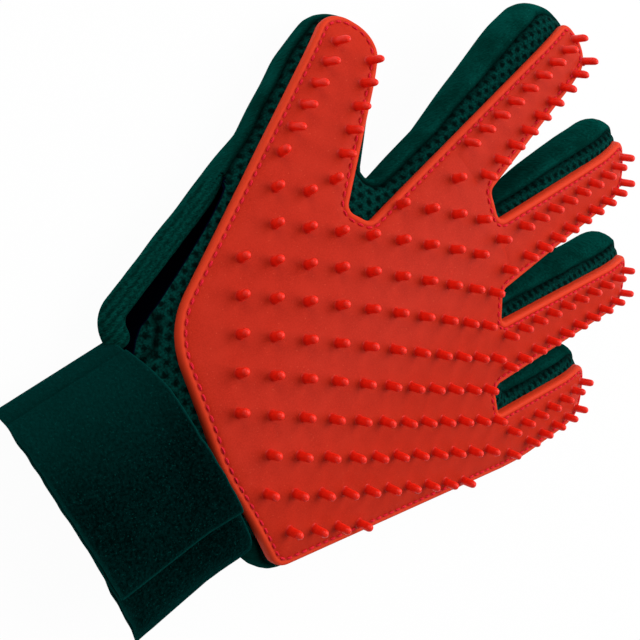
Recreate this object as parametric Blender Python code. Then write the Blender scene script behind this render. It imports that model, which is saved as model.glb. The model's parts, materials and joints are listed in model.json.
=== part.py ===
"""Left-hand pet-grooming glove.

A moulded rubber pad with nubs is sewn on the palm side of a five-finger glove of air mesh (palm side)
and velvet (back), closed at the wrist by a hook-and-loop strap.  Metres, +Z up: the glove lies on its
back with the palm side up, the fingers towards +X and the thumb towards +Y.

Every piece is first drawn flat, on the cutting pattern (x towards the fingers, y towards the thumb,
z up from the palm-side face of the fabric).  The function `worn` then gives the flat pattern the bend
that it has in use.
"""
import bpy
import bmesh
from collections import namedtuple
from math import acos, atan2, ceil, cos, pi, radians, sin, tan
from mathutils import Matrix, Vector

# Fabric body
FABRIC_WALL = 0.0016
BODY_DEPTH = 0.0190
BODY_EDGE_RADIUS = 0.0075
SEAM_GAP = 0.0003
FABRIC_TIP_REACH = 0.0035

# Rubber pad and its moulded nubs
PAD_THICKNESS = 0.0020
PAD_EDGE_RADIUS = 0.0005
PAD_LIFT = 0.0003
NUB_ROOT_DIAMETER = 0.0028
NUB_TIP_DIAMETER = 0.0023
NUB_HEIGHT = 0.0050
NUB_DOME = 0.0008
NUB_SINK = 0.0006
NUB_SIDES = 6
NUB_PITCH = 0.0100
NUB_COLUMN_PITCH = 0.0096
NUB_ROW_TILT = radians(-27.0)
NUB_GRID_START = Vector((-0.0300, 0.0360))
NUB_GRID_COLUMNS = 14
NUB_GRID_FIRST_ROW = -3
NUB_GRID_LAST_ROW = 7
NUB_EDGE_MARGIN = 0.0023
NUB_SPACING_MIN = 0.0062
NUB_GRID_BARE = ((-1, 0), (5, 0), (-3, 6))
FINGER_NUB_BEFORE = 0.0050
INDEX_NUB_BEFORE = 0.0090
INDEX_NUB_ROW = 0.0008
FINGER_NUB_TIP_MARGIN = 0.0032
FINGER_NUB_EDGE_MARGIN = 0.0014

# Palm outline of the pad on the pattern
PAD_WRIST_X = -0.0580
PAD_HEEL_Y = -0.0440
PAD_HEEL_RADIUS = 0.0070
PAD_THUMB_CORNER = Vector((-0.0560, 0.0270))
PAD_THUMB_CORNER_RADIUS = 0.0230
PAD_WRIST_BULGE = Vector((-0.0586, -0.0120))
PAD_WRIST_BULGE_RADIUS = 0.0400
PAD_LITTLE_RADIUS = 0.0900
PAD_CROTCH_RADIUS = 0.0024
PAD_THUMB_CROTCH_DEPTH = 0.0108
PAD_THUMB_CROTCH_WIDTH = 0.0072

# Palm outline of the fabric on the pattern
FABRIC_HEEL = Vector((-0.0525, -0.0488))
FABRIC_HEEL_RADIUS = 0.0100
FABRIC_THUMB_CORNER = Vector((-0.0655, 0.0395))
FABRIC_THUMB_CORNER_RADIUS = 0.0090
FINGER_ROOT_REACH = 0.0140
FINGER_ROOT_INSET = 0.0050
THUMB_WEB_REACH = 0.0020
THUMB_WEB_WIDTH = 0.0030

# Wrist and its strap
WRIST_CENTRE = Vector((-0.0768, -0.0050))
WRIST_ANGLE = radians(8.0)
WRIST_LITTLE_SIDE = 0.0342
WRIST_THUMB_SIDE = 0.0322
STRAP_WIDTH = 0.0340
SHOULDER_CLEARANCE = 0.0012
STRAP_OVERHANG = 0.0006
BAND_THICKNESS = 0.0014
BAND_CLEARANCE = 0.0005
FLAP_THICKNESS = 0.0016
FLAP_END_SETBACK = 0.0175
FLAP_ROOT_SETBACK = 0.0015
FLAP_CORNER_RADIUS = 0.0015
HOOK_LENGTH = 0.0240
HOOK_MARGIN = 0.0030
HOOK_THICKNESS = 0.0010
LAYER_GAP = 0.0003

# Vent beside the thumb and the binding on its velvet edge
VENT_LENGTH = 0.0400
VENT_DEPTH = 0.0070
VENT_END_DEPTH = 0.0046
VENT_END_MARGIN = 0.0012
VENT_ROOF = 0.0016
BINDING_DIAMETER = 0.0034
BINDING_INSET = 0.0018
BINDING_BEVEL_RESOLUTION = 1

# Bend of the worn glove: a band of the palm curves about a line at BEND_ANGLE to the hand
BEND_ANGLE = radians(20.0)
BEND_RADIUS = 0.0900
BEND_HALF_BAND = 0.0240
BEND_STEPS = 8

# Wrist section: flatter than the palm, and a little lower
WRIST_FLATNESS = 0.62
WRIST_DIP = 0.0030
WRIST_SLOPE_START = -0.0540
WRIST_SLOPE_END = -0.0700
WRIST_SLOPE_STEPS = 4

# How the glove lies on its back
STAND_ROLL = radians(-2.4)
STAND_PITCH = radians(-3.0)
REST_FLAT_DEPTH = 0.0007

# The palm is cut into three strips along its bend, on lines that pass between two diagonals of nubs
STRIP_ANGLE = NUB_ROW_TILT + atan2(NUB_PITCH, NUB_COLUMN_PITCH)
STRIP_DIAGONALS = (-7.65, -4.5)
STRIP_GAP = 0.0003
STRIPS = ("palm_outer", "palm_middle", "palm_inner")

# Finger joints turn on a line just above the pad
KNUCKLE_LIFT = 0.0016
KNUCKLE_GAP = 0.0004
FINGER_SIDE_CLEARANCE = 0.0007

ARC_STEP = radians(20.0)
FLAT_ANGLE = radians(0.2)
FULL_ROUND = 0.90
EVEN_SKEW = 0.5
SMOOTH_ANGLE = radians(32.0)
BODY_BEVEL_RESOLUTION = 2
REACH = 0.3
CUFF_REACH = 0.0750
WELD = 0.000001

# Pad length past each knuckle line
LITTLE_LENGTH = 0.0447
RING_LENGTH = 0.0718
MIDDLE_LENGTH = 0.0680
INDEX_LENGTH = 0.0632
THUMB_LENGTH = 0.0440

Finger = namedtuple("Finger", "name x y angle length pad_root pad_thumb pad_little skew"
                              " thumb_crotch little_crotch low_root high_root low_tip high_tip"
                              " nub_pitch thumb_start thumb_row thumb_slope"
                              " little_start little_row little_slope")

# For each finger, from the little finger to the thumb: knuckle centre, direction and pad length; pad half
# widths at the root and at the tip's thumb and little sides, the thumb side's share of the tip's rounding,
# depths of the pad's crotches beside it; fabric limits across the knuckle and across the tip; nub pitch,
# then first place, distance from the finger's line and its change per metre for the two nub rows
FINGERS = (
    Finger("little", 0.0581, -0.0598, radians(-5.5), LITTLE_LENGTH, 0.0109, 0.0092, 0.0094, 0.40,
           0.0103, 0.0, -0.0159, 0.0162, -0.0116, 0.0149,
           0.0077, 0.0028, 0.0036, -0.02, 0.0061, -0.0049, -0.02),
    Finger("ring", 0.0581, -0.0272, radians(-3.8), RING_LENGTH, 0.0102, 0.0082, 0.0090, 0.35,
           0.0068, 0.0103, -0.0151, 0.0151, -0.0110, 0.0152,
           0.0081, 0.0026, 0.0062, -0.04, 0.0026, -0.0045, -0.01),
    Finger("middle", 0.0591, 0.0054, radians(5.2), MIDDLE_LENGTH, 0.0106, 0.0082, 0.0092, 0.35,
           0.0026, 0.0068, -0.0155, 0.0152, -0.0112, 0.0160,
           0.0077, 0.0059, 0.0060, -0.05, 0.0054, -0.0038, -0.04),
    Finger("index", 0.0521, 0.0350, radians(21.0), INDEX_LENGTH, 0.0105, 0.0064, 0.0080, 0.30,
           0.0, 0.0004, -0.0130, 0.0177, -0.0110, 0.0206,
           0.0071, 0.0026, 0.0056, -0.08, 0.0022, -0.0048, -0.03),
    Finger("thumb", 0.0039, 0.0541, radians(43.5), THUMB_LENGTH, 0.0143, 0.0101, 0.0083, 0.50,
           0.0, 0.0, -0.0175, 0.0199, -0.0097, 0.0107,
           0.0075, 0.0034, 0.0095, -0.13, 0.0032, -0.0072, 0.03),
)
LITTLE, RING, MIDDLE, INDEX, THUMB = FINGERS

COLOURS = {
    "pad": ((0.47, 0.024, 0.010), 0.45),
    "mesh": ((0.002, 0.034, 0.025), 0.85),
    "back": ((0.002, 0.044, 0.033), 0.95),
    "strap": ((0.001, 0.012, 0.012), 0.95),
    "hook": ((0.002, 0.010, 0.010), 0.6),
    "binding": ((0.002, 0.040, 0.030), 0.95),
}

PAD_TOP = PAD_LIFT + PAD_THICKNESS
WRIST_SHOULDER = STRAP_WIDTH / 2 + SHOULDER_CLEARANCE
SEAM_HEIGHT = -BODY_DEPTH / 2


def clear_scene():
    for old in list(bpy.data.objects):
        bpy.data.objects.remove(old)


def collection(name):
    group = bpy.data.collections.new(name)
    bpy.context.scene.collection.children.link(group)
    return group


def material(name):
    colour, roughness = COLOURS[name]
    finish = bpy.data.materials.new(name)
    finish.use_nodes = True
    shader = finish.node_tree.nodes["Principled BSDF"]
    shader.inputs["Base Color"].default_value = (*colour, 1.0)
    shader.inputs["Roughness"].default_value = roughness
    shader.inputs["Metallic"].default_value = 0.0
    finish.diffuse_color = (*colour, 1.0)
    return finish


# Places on the flat pattern

def on_finger(finger, along, across):
    """Pattern point at a distance past the knuckle and towards the finger's thumb side."""
    direction = Vector((cos(finger.angle), sin(finger.angle)))
    side = Vector((-direction.y, direction.x))
    return Vector((finger.x, finger.y)) + direction * along + side * across


def on_wrist(along, across):
    """Pattern point in the strap's own frame, towards the fingers and towards the thumb side."""
    direction = Vector((cos(WRIST_ANGLE), sin(WRIST_ANGLE)))
    side = Vector((-direction.y, direction.x))
    return WRIST_CENTRE + direction * along + side * across


def rounded(corners):
    """Closed outline through (point, radius) corners, with each corner turned into an arc."""
    outline = []
    for index, (point, radius) in enumerate(corners):
        before = (corners[index - 1][0] - point).normalized()
        after = (corners[(index + 1) % len(corners)][0] - point).normalized()
        opening = acos(max(-1.0, min(1.0, before.dot(after))))
        if radius == 0.0:
            outline.append(point.copy())
            continue
        centre = point + (before + after).normalized() * (radius / sin(opening / 2))
        start = point + before * (radius / tan(opening / 2)) - centre
        turn = pi - opening
        if before.x * after.y - before.y * after.x > 0.0:
            turn = -turn
        steps = max(1, ceil(abs(turn) / ARC_STEP))
        for step in range(steps + 1):
            swing = Matrix.Rotation(turn * step / steps, 2)
            outline.append(centre + swing @ start)
    return outline


def turn_at(before, point, after):
    """Angle that an outline turns through at a point."""
    return (point - before).angle(after - point)


def round_end(before, low, high, after, skew):
    """The two corners of a finger's end, made fully round; skew is the thumb side's share."""
    width = (high - low).length * FULL_ROUND
    low_radius = width * (1.0 - skew) / tan(turn_at(before, low, high) / 2)
    high_radius = width * skew / tan(turn_at(low, high, after) / 2)
    return [(low, low_radius), (high, high_radius)]


def pad_end(finger):
    """Round end of the pad on a finger."""
    return round_end(on_finger(finger, 0.0, -finger.pad_root),
                     on_finger(finger, finger.length, -finger.pad_little),
                     on_finger(finger, finger.length, finger.pad_thumb),
                     on_finger(finger, 0.0, finger.pad_root), finger.skew)


def fabric_end(finger):
    """Round end of the fabric on a finger."""
    tip = finger.length + FABRIC_TIP_REACH
    return round_end(on_finger(finger, 0.0, finger.low_root), on_finger(finger, tip, finger.low_tip),
                     on_finger(finger, tip, finger.high_tip), on_finger(finger, 0.0, finger.high_root),
                     EVEN_SKEW)


def pad_corners():
    """Corners of the rubber pad, counterclockwise from the heel."""
    corners = [(Vector((PAD_WRIST_X + PAD_HEEL_RADIUS, PAD_HEEL_Y)), PAD_HEEL_RADIUS)]
    for finger in FINGERS[:-1]:
        radius = PAD_LITTLE_RADIUS if finger is LITTLE else PAD_CROTCH_RADIUS
        corners.append((on_finger(finger, -finger.little_crotch, -finger.pad_root), radius))
        corners += pad_end(finger)
        if finger is not INDEX:
            corners.append((on_finger(finger, -finger.thumb_crotch, finger.pad_root), PAD_CROTCH_RADIUS))
    inner = -THUMB.pad_root
    crotch = on_finger(THUMB, -PAD_THUMB_CROTCH_DEPTH, inner - PAD_THUMB_CROTCH_WIDTH)
    corners.append((crotch, PAD_CROTCH_RADIUS))
    corners.append((on_finger(THUMB, -PAD_THUMB_CROTCH_DEPTH, inner), PAD_CROTCH_RADIUS))
    corners += pad_end(THUMB)
    corners.append((PAD_THUMB_CORNER, PAD_THUMB_CORNER_RADIUS))
    corners.append((PAD_WRIST_BULGE, PAD_WRIST_BULGE_RADIUS))
    return corners


def finger_corners(finger):
    """Corners of one finger's fabric, counterclockwise, with its root narrowed inside the palm."""
    low_inside = on_finger(finger, -FINGER_ROOT_REACH, finger.low_root + FINGER_ROOT_INSET)
    high_inside = on_finger(finger, -FINGER_ROOT_REACH, finger.high_root - FINGER_ROOT_INSET)
    return [(low_inside, 0.0), (on_finger(finger, 0.0, finger.low_root), 0.0), *fabric_end(finger),
            (on_finger(finger, 0.0, finger.high_root), 0.0), (high_inside, 0.0)]


def palm_corners():
    """Corners of the palm's fabric, counterclockwise from the little side of the wrist."""
    return [(on_wrist(-CUFF_REACH, -WRIST_LITTLE_SIDE), 0.0),
            (on_wrist(WRIST_SHOULDER, -WRIST_LITTLE_SIDE), 0.0),
            (FABRIC_HEEL, FABRIC_HEEL_RADIUS),
            (on_finger(LITTLE, 0.0, LITTLE.low_root), 0.0),
            (on_finger(MIDDLE, 0.0, MIDDLE.high_root), 0.0),
            (on_finger(INDEX, 0.0, INDEX.high_root), 0.0),
            (on_finger(THUMB, THUMB_WEB_REACH, THUMB.low_root - THUMB_WEB_WIDTH), 0.0),
            (on_finger(THUMB, 0.0, THUMB.high_root), 0.0),
            (FABRIC_THUMB_CORNER, FABRIC_THUMB_CORNER_RADIUS),
            (on_wrist(WRIST_SHOULDER, WRIST_THUMB_SIDE), 0.0),
            (on_wrist(-CUFF_REACH, WRIST_THUMB_SIDE), 0.0)]


# The bend that the flat pattern takes when the glove is worn

def smoothstep(start, end, value):
    share = max(0.0, min(1.0, (value - start) / (end - start)))
    return share * share * (3.0 - 2.0 * share)


def worn(point):
    """Place in space of a point (x, y, z) of the flat pattern."""
    x, y, z = point
    wrist = smoothstep(WRIST_SLOPE_START, WRIST_SLOPE_END, x)
    if z < 0.0:
        z *= 1.0 - (1.0 - WRIST_FLATNESS) * wrist
    z -= WRIST_DIP * wrist
    along = x * cos(BEND_ANGLE) + y * sin(BEND_ANGLE)
    across = -x * sin(BEND_ANGLE) + y * cos(BEND_ANGLE)
    bent = max(-BEND_HALF_BAND, min(BEND_HALF_BAND, across))
    straight = across - bent
    angle = bent / BEND_RADIUS
    side = (BEND_RADIUS + z) * sin(angle) + straight * cos(angle)
    height = (BEND_RADIUS + z) * cos(angle) - BEND_RADIUS - straight * sin(angle)
    place = Vector((along, side, height))
    lie = Matrix.Rotation(BEND_ANGLE, 3, "Z") @ Matrix.Rotation(STAND_ROLL, 3, "X")
    return lie @ Matrix.Rotation(STAND_PITCH, 3, "Y") @ place


def fold_lines():
    """Lines (point, direction across) of the pattern where every piece gets an edge to bend on."""
    across = Vector((-sin(BEND_ANGLE), cos(BEND_ANGLE), 0.0))
    lines = []
    for step in range(BEND_STEPS + 1):
        offset = -BEND_HALF_BAND + 2 * BEND_HALF_BAND * step / BEND_STEPS
        lines.append((across * offset, across))
    for step in range(WRIST_SLOPE_STEPS + 1):
        slope = WRIST_SLOPE_END - WRIST_SLOPE_START
        x = WRIST_SLOPE_START + slope * step / WRIST_SLOPE_STEPS
        lines.append((Vector((x, 0.0, 0.0)), Vector((1.0, 0.0, 0.0))))
    return lines


# Solids on the flat pattern

def link(name, mesh, group):
    piece = bpy.data.objects.new(name, mesh)
    group.objects.link(piece)
    return piece


def sheet(name, outlines, bottom, top, edge, group, bevel=None):
    """Mesh object: a filled outline between two heights, with its edges rounded inwards by `edge`."""
    bevel = edge if bevel is None else bevel
    curve = bpy.data.curves.new(name, "CURVE")
    curve.dimensions = "2D"
    curve.fill_mode = "BOTH"
    curve.extrude = (top - bottom) / 2 - edge
    curve.bevel_depth = bevel
    curve.bevel_resolution = BODY_BEVEL_RESOLUTION if edge > PAD_EDGE_RADIUS else 0
    curve.offset = -edge
    for outline in outlines:
        spline = curve.splines.new("POLY")
        spline.points.add(len(outline) - 1)
        for point, place in zip(spline.points, outline):
            point.co = (place.x, place.y, 0.0, 1.0)
        spline.use_cyclic_u = True
    drawn = link(name + "_outline", curve, group)
    drawn.location.z = (top + bottom) / 2
    bpy.context.view_layer.update()
    solid = baked(drawn)
    solid.transform(drawn.matrix_world)
    bpy.data.objects.remove(drawn)
    return link(name, solid, group)


def baked(source):
    """Welded mesh of an object as it is evaluated."""
    graph = bpy.context.evaluated_depsgraph_get()
    mesh = bpy.data.meshes.new_from_object(source.evaluated_get(graph))
    shape = bmesh.new()
    shape.from_mesh(mesh)
    bmesh.ops.remove_doubles(shape, verts=shape.verts, dist=WELD)
    bmesh.ops.recalc_face_normals(shape, faces=shape.faces)
    shape.to_mesh(mesh)
    shape.free()
    return mesh


def box(name, low, high, group):
    shape = bmesh.new()
    bmesh.ops.create_cube(shape, size=1.0)
    size = high - low
    bmesh.ops.scale(shape, vec=size, verts=shape.verts)
    bmesh.ops.translate(shape, vec=(low + high) / 2, verts=shape.verts)
    mesh = bpy.data.meshes.new(name)
    shape.to_mesh(mesh)
    shape.free()
    return link(name, mesh, group)


def combined(name, base, steps, group):
    """New mesh object: a copy of `base` after the Boolean steps (operation, other object)."""
    piece = link(name + "_work", base.data.copy(), group)
    piece.matrix_world = base.matrix_world.copy()
    for operation, other in steps:
        cut = piece.modifiers.new(other.name, "BOOLEAN")
        cut.operation = operation
        cut.solver = "EXACT"
        cut.object = other
    bpy.context.view_layer.update()
    mesh = baked(piece)
    mesh.transform(piece.matrix_world)
    bpy.data.objects.remove(piece)
    return link(name, mesh, group)


def bend_piece(piece):
    """Give a flat piece its fold lines, then move every point to its worn place."""
    shape = bmesh.new()
    shape.from_mesh(piece.data)
    bmesh.ops.dissolve_limit(shape, angle_limit=FLAT_ANGLE, verts=shape.verts, edges=shape.edges)
    for point, across in fold_lines():
        parts = shape.verts[:] + shape.edges[:] + shape.faces[:]
        bmesh.ops.bisect_plane(shape, geom=parts, dist=WELD, plane_co=point, plane_no=across)
    bmesh.ops.triangulate(shape, faces=shape.faces)
    for vertex in shape.verts:
        vertex.co = worn(vertex.co)
    shape.to_mesh(piece.data)
    shape.free()


# Sub-parts

def finger_block(finger, gap, group):
    """Block round one finger, past its knuckle line by `gap`."""
    low = min(finger.low_root, finger.low_tip) - FINGER_SIDE_CLEARANCE
    high = max(finger.high_root, finger.high_tip) + FINGER_SIDE_CLEARANCE
    outline = [on_finger(finger, gap, low), on_finger(finger, REACH, low),
               on_finger(finger, REACH, high), on_finger(finger, gap, high)]
    return sheet(finger.name + "_block", [outline], -REACH, REACH, 0.0, group)


def filled_glove(edge, group):
    """Union of the palm and the fingers, its walls set back by what `edge` is short of the edge radius."""
    outlines = [("palm", palm_corners())] + [(finger.name, finger_corners(finger)) for finger in FINGERS]
    solids = [sheet(name + "_form", [rounded(corners)], -BODY_DEPTH, 0.0, BODY_EDGE_RADIUS, group, edge)
              for name, corners in outlines]
    return combined("glove_form", solids[0], [("UNION", solid) for solid in solids[1:]], group)


def fabric_body(group):
    """Hollow fabric body, open at the wrist."""
    body = filled_glove(BODY_EDGE_RADIUS, group)
    hollow = filled_glove(BODY_EDGE_RADIUS - FABRIC_WALL, group)
    mouth = -STRAP_WIDTH / 2 + STRAP_OVERHANG
    outside = [on_wrist(mouth, -REACH), on_wrist(mouth, REACH), on_wrist(-REACH, REACH),
               on_wrist(-REACH, -REACH)]
    beyond = sheet("beyond", [outside], -REACH, REACH, 0.0, group)
    return combined("shell", body, [("DIFFERENCE", hollow), ("DIFFERENCE", beyond)], group)


def vent_edge():
    """Free velvet edge beside the thumb: its start, its direction and the way into the palm."""
    edge = (on_finger(THUMB, 0.0, THUMB.high_root) - FABRIC_THUMB_CORNER).normalized()
    return FABRIC_THUMB_CORNER, edge, Vector((edge.y, -edge.x))


def vent_cutter(group):
    """Block that frees the mesh from the velvet between the strap and the thumb."""
    start, edge, inward = vent_edge()
    shoulder = on_wrist(WRIST_SHOULDER, WRIST_THUMB_SIDE)
    near = shoulder + (shoulder - start).normalized() * VENT_DEPTH
    far = start + edge * VENT_LENGTH
    outline = [near - inward * VENT_DEPTH, near + inward * VENT_DEPTH, start + inward * VENT_DEPTH,
               far + inward * VENT_END_DEPTH, far - inward * VENT_DEPTH, start - inward * VENT_DEPTH]
    return sheet("vent", [outline], SEAM_HEIGHT - SEAM_GAP, -VENT_ROOF, 0.0, group)


def vent_binding(group):
    """Rolled hem that lies on the velvet's free edge in the vent."""
    start, edge, inward = vent_edge()
    height = SEAM_HEIGHT + SEAM_GAP / 2 + LAYER_GAP + BINDING_DIAMETER / 2
    curve = bpy.data.curves.new("vent_binding", "CURVE")
    curve.dimensions = "3D"
    curve.bevel_depth = BINDING_DIAMETER / 2
    curve.bevel_resolution = BINDING_BEVEL_RESOLUTION
    curve.use_fill_caps = True
    first = start + edge * FABRIC_THUMB_CORNER_RADIUS / 2 + inward * BINDING_INSET
    last = start + edge * (VENT_LENGTH - VENT_END_MARGIN) + inward * BINDING_INSET
    spline = curve.splines.new("POLY")
    spline.points.add(1)
    for point, place in zip(spline.points, (first, last)):
        point.co = (place.x, place.y, height, 1.0)
    drawn = link("binding_path", curve, group)
    bpy.context.view_layer.update()
    mesh = baked(drawn)
    bpy.data.objects.remove(drawn)
    return link("vent_binding", mesh, group)


def strip_lines():
    """Distances of the strips' border lines from the pattern's origin, towards the thumb, and that way."""
    way = Vector((-sin(STRIP_ANGLE), cos(STRIP_ANGLE)))
    spacing = NUB_PITCH * cos(STRIP_ANGLE - NUB_ROW_TILT)
    return [NUB_GRID_START.dot(way) + spacing * diagonal for diagonal in STRIP_DIAGONALS], way


def strip_of(place):
    """Name of the palm strip that a pattern place lies on."""
    lines, way = strip_lines()
    return STRIPS[sum(place.dot(way) > line for line in lines)]


def strip_block(name, group):
    """Block that holds one strip of the palm."""
    lines, way = strip_lines()
    along = Vector((way.y, -way.x)) * REACH
    borders = [-REACH] + lines + [REACH]
    index = STRIPS.index(name)
    low = way * (borders[index] + STRIP_GAP / 2)
    high = way * (borders[index + 1] - STRIP_GAP / 2)
    return sheet(name + "_block", [[low - along, low + along, high + along, high - along]],
                 -REACH, REACH, 0.0, group)


def fabric_pieces(group):
    """Mesh and velvet halves of the palm's strips and of each finger, still flat."""
    shell = fabric_body(group)
    wide = Vector((REACH, REACH, REACH))
    upper = box("upper", Vector((-REACH, -REACH, SEAM_HEIGHT + SEAM_GAP / 2)), wide, group)
    lower = box("lower", -wide, Vector((REACH, REACH, SEAM_HEIGHT - SEAM_GAP / 2)), group)
    vent = vent_cutter(group)
    pieces = {}
    for finger in FINGERS:
        block = finger_block(finger, KNUCKLE_GAP / 2, group)
        for kind, half in (("mesh", upper), ("back", lower)):
            steps = [("INTERSECT", half), ("INTERSECT", block)]
            pieces[finger.name + "_" + kind] = combined(finger.name + "_" + kind, shell, steps, group)
    blocks = [("DIFFERENCE", finger_block(finger, -KNUCKLE_GAP / 2, group)) for finger in FINGERS]
    mesh_side = combined("palm_mesh", shell, [("INTERSECT", upper), ("DIFFERENCE", vent)] + blocks, group)
    back_side = combined("palm_back", shell, [("INTERSECT", lower)] + blocks, group)
    for strip in STRIPS:
        block = strip_block(strip, group)
        pieces[strip + "_mesh"] = combined(strip + "_mesh", mesh_side, [("INTERSECT", block)], group)
        pieces[strip + "_back"] = combined(strip + "_back", back_side, [("INTERSECT", block)], group)
    return pieces


def pad_pieces(group):
    """Palm strips and finger stretches of the rubber pad, still flat and without nubs."""
    pad = sheet("pad", [rounded(pad_corners())], PAD_LIFT, PAD_TOP, PAD_EDGE_RADIUS, group)
    pieces = {}
    for finger in FINGERS:
        block = finger_block(finger, KNUCKLE_GAP / 2, group)
        name = finger.name + "_pad"
        pieces[name] = combined(name, pad, [("INTERSECT", block)], group)
    blocks = [("DIFFERENCE", finger_block(finger, -KNUCKLE_GAP / 2, group)) for finger in FINGERS]
    palm = combined("palm_pad", pad, blocks, group)
    for strip in STRIPS:
        name = strip + "_pad"
        pieces[name] = combined(name, palm, [("INTERSECT", strip_block(strip, group))], group)
    return pieces


def distance_to_outline(point, outline):
    """Distance to the outline, negative outside it."""
    nearest = REACH
    inside = False
    for start, end in zip(outline, outline[1:] + outline[:1]):
        run = end - start
        share = max(0.0, min(1.0, (point - start).dot(run) / max(run.length_squared, WELD * WELD)))
        nearest = min(nearest, (point - start - run * share).length)
        if (start.y > point.y) != (end.y > point.y):
            if point.x < start.x + run.x * (point.y - start.y) / run.y:
                inside = not inside
    return nearest if inside else -nearest


def finger_nubs(finger, outline):
    """Nubs that stand on the palm before a finger, and the two rows along it."""
    before, after = [], []
    if finger is INDEX:
        before.append(on_finger(finger, -INDEX_NUB_BEFORE, INDEX_NUB_ROW))
    last = finger.length - FINGER_NUB_TIP_MARGIN
    for start, row, slope in ((finger.thumb_start, finger.thumb_row, finger.thumb_slope),
                              (finger.little_start, finger.little_row, finger.little_slope)):
        if finger is not INDEX:
            before.append(on_finger(finger, -FINGER_NUB_BEFORE, row))
        for step in range(int((last - start) / finger.nub_pitch) + 1):
            along = start + finger.nub_pitch * step
            place = on_finger(finger, along, row + slope * along)
            if distance_to_outline(place, outline) > FINGER_NUB_EDGE_MARGIN:
                after.append(place)
    return before, after


def nub_places():
    """Pattern places of the nubs, by pad piece."""
    outline = rounded(pad_corners())
    places = {strip + "_pad": [] for strip in STRIPS}
    for finger in FINGERS:
        before, after = finger_nubs(finger, outline)
        for place in before:
            places[strip_of(place) + "_pad"].append(place)
        places[finger.name + "_pad"] = after
    column = Vector((cos(NUB_ROW_TILT), sin(NUB_ROW_TILT))) * NUB_COLUMN_PITCH
    row = Vector((sin(NUB_ROW_TILT), -cos(NUB_ROW_TILT))) * NUB_PITCH
    taken = [place for rows in places.values() for place in rows]
    for line in range(NUB_GRID_FIRST_ROW, NUB_GRID_LAST_ROW + 1):
        for step in range(NUB_GRID_COLUMNS):
            place = NUB_GRID_START + column * step + row * line
            if (line, step) in NUB_GRID_BARE:
                continue
            if distance_to_outline(place, outline) < NUB_EDGE_MARGIN:
                continue
            if any((place - other).length < NUB_SPACING_MIN for other in taken):
                continue
            if any(past_knuckle(finger, place) for finger in FINGERS):
                continue
            places[strip_of(place) + "_pad"].append(place)
    return places


def past_knuckle(finger, place):
    """True where a nub would stand on a finger's pad or too near its knuckle line."""
    offset = place - Vector((finger.x, finger.y))
    along = offset.x * cos(finger.angle) + offset.y * sin(finger.angle)
    across = -offset.x * sin(finger.angle) + offset.y * cos(finger.angle)
    return along > -FINGER_NUB_BEFORE and abs(across) < finger.high_root


def nub_group(name, places, group):
    """Nubs standing square on the worn pad, their roots sunk in it."""
    shape = bmesh.new()
    height = NUB_HEIGHT - NUB_DOME + NUB_SINK
    for place in places:
        foot = worn((place.x, place.y, PAD_TOP - NUB_SINK))
        head = worn((place.x, place.y, PAD_TOP + NUB_HEIGHT))
        turn = (head - foot).to_track_quat("Z", "X").to_matrix().to_4x4()
        stand = Matrix.Translation(foot) @ turn @ Matrix.Translation((0.0, 0.0, height / 2))
        made = bmesh.ops.create_cone(shape, cap_ends=True, segments=NUB_SIDES, radius1=NUB_ROOT_DIAMETER / 2,
                                     radius2=NUB_TIP_DIAMETER / 2, depth=height, matrix=stand)
        middle = (head + foot) / 2
        axis = (head - foot).normalized()
        faces = {face for vertex in made["verts"] for face in vertex.link_faces}
        top = max(faces, key=lambda face: (face.calc_center_median() - middle).dot(axis))
        bmesh.ops.poke(shape, faces=[top], offset=NUB_DOME)
    mesh = bpy.data.meshes.new(name)
    shape.to_mesh(mesh)
    shape.free()
    return link(name, mesh, group)


def ring_outline(margin):
    """Section of the wrist grown by a margin: (across the wrist, height) points of a rounded oblong."""
    low = -WRIST_LITTLE_SIDE - margin
    high = WRIST_THUMB_SIDE + margin
    radius = BODY_EDGE_RADIUS + margin
    corners = [Vector((low, -BODY_DEPTH - margin)), Vector((high, -BODY_DEPTH - margin)),
               Vector((high, margin)), Vector((low, margin))]
    return rounded([(corner, radius) for corner in corners])


def on_wrist_frame(piece):
    """Turn a piece drawn as a section (across, height, along) into its place on the pattern."""
    start = on_wrist(0.0, 0.0)
    turn = Matrix(((-sin(WRIST_ANGLE), 0.0, cos(WRIST_ANGLE)),
                   (cos(WRIST_ANGLE), 0.0, sin(WRIST_ANGLE)),
                   (0.0, 1.0, 0.0))).to_4x4()
    piece.data.transform(Matrix.Translation((start.x, start.y, 0.0)) @ turn)


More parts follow.
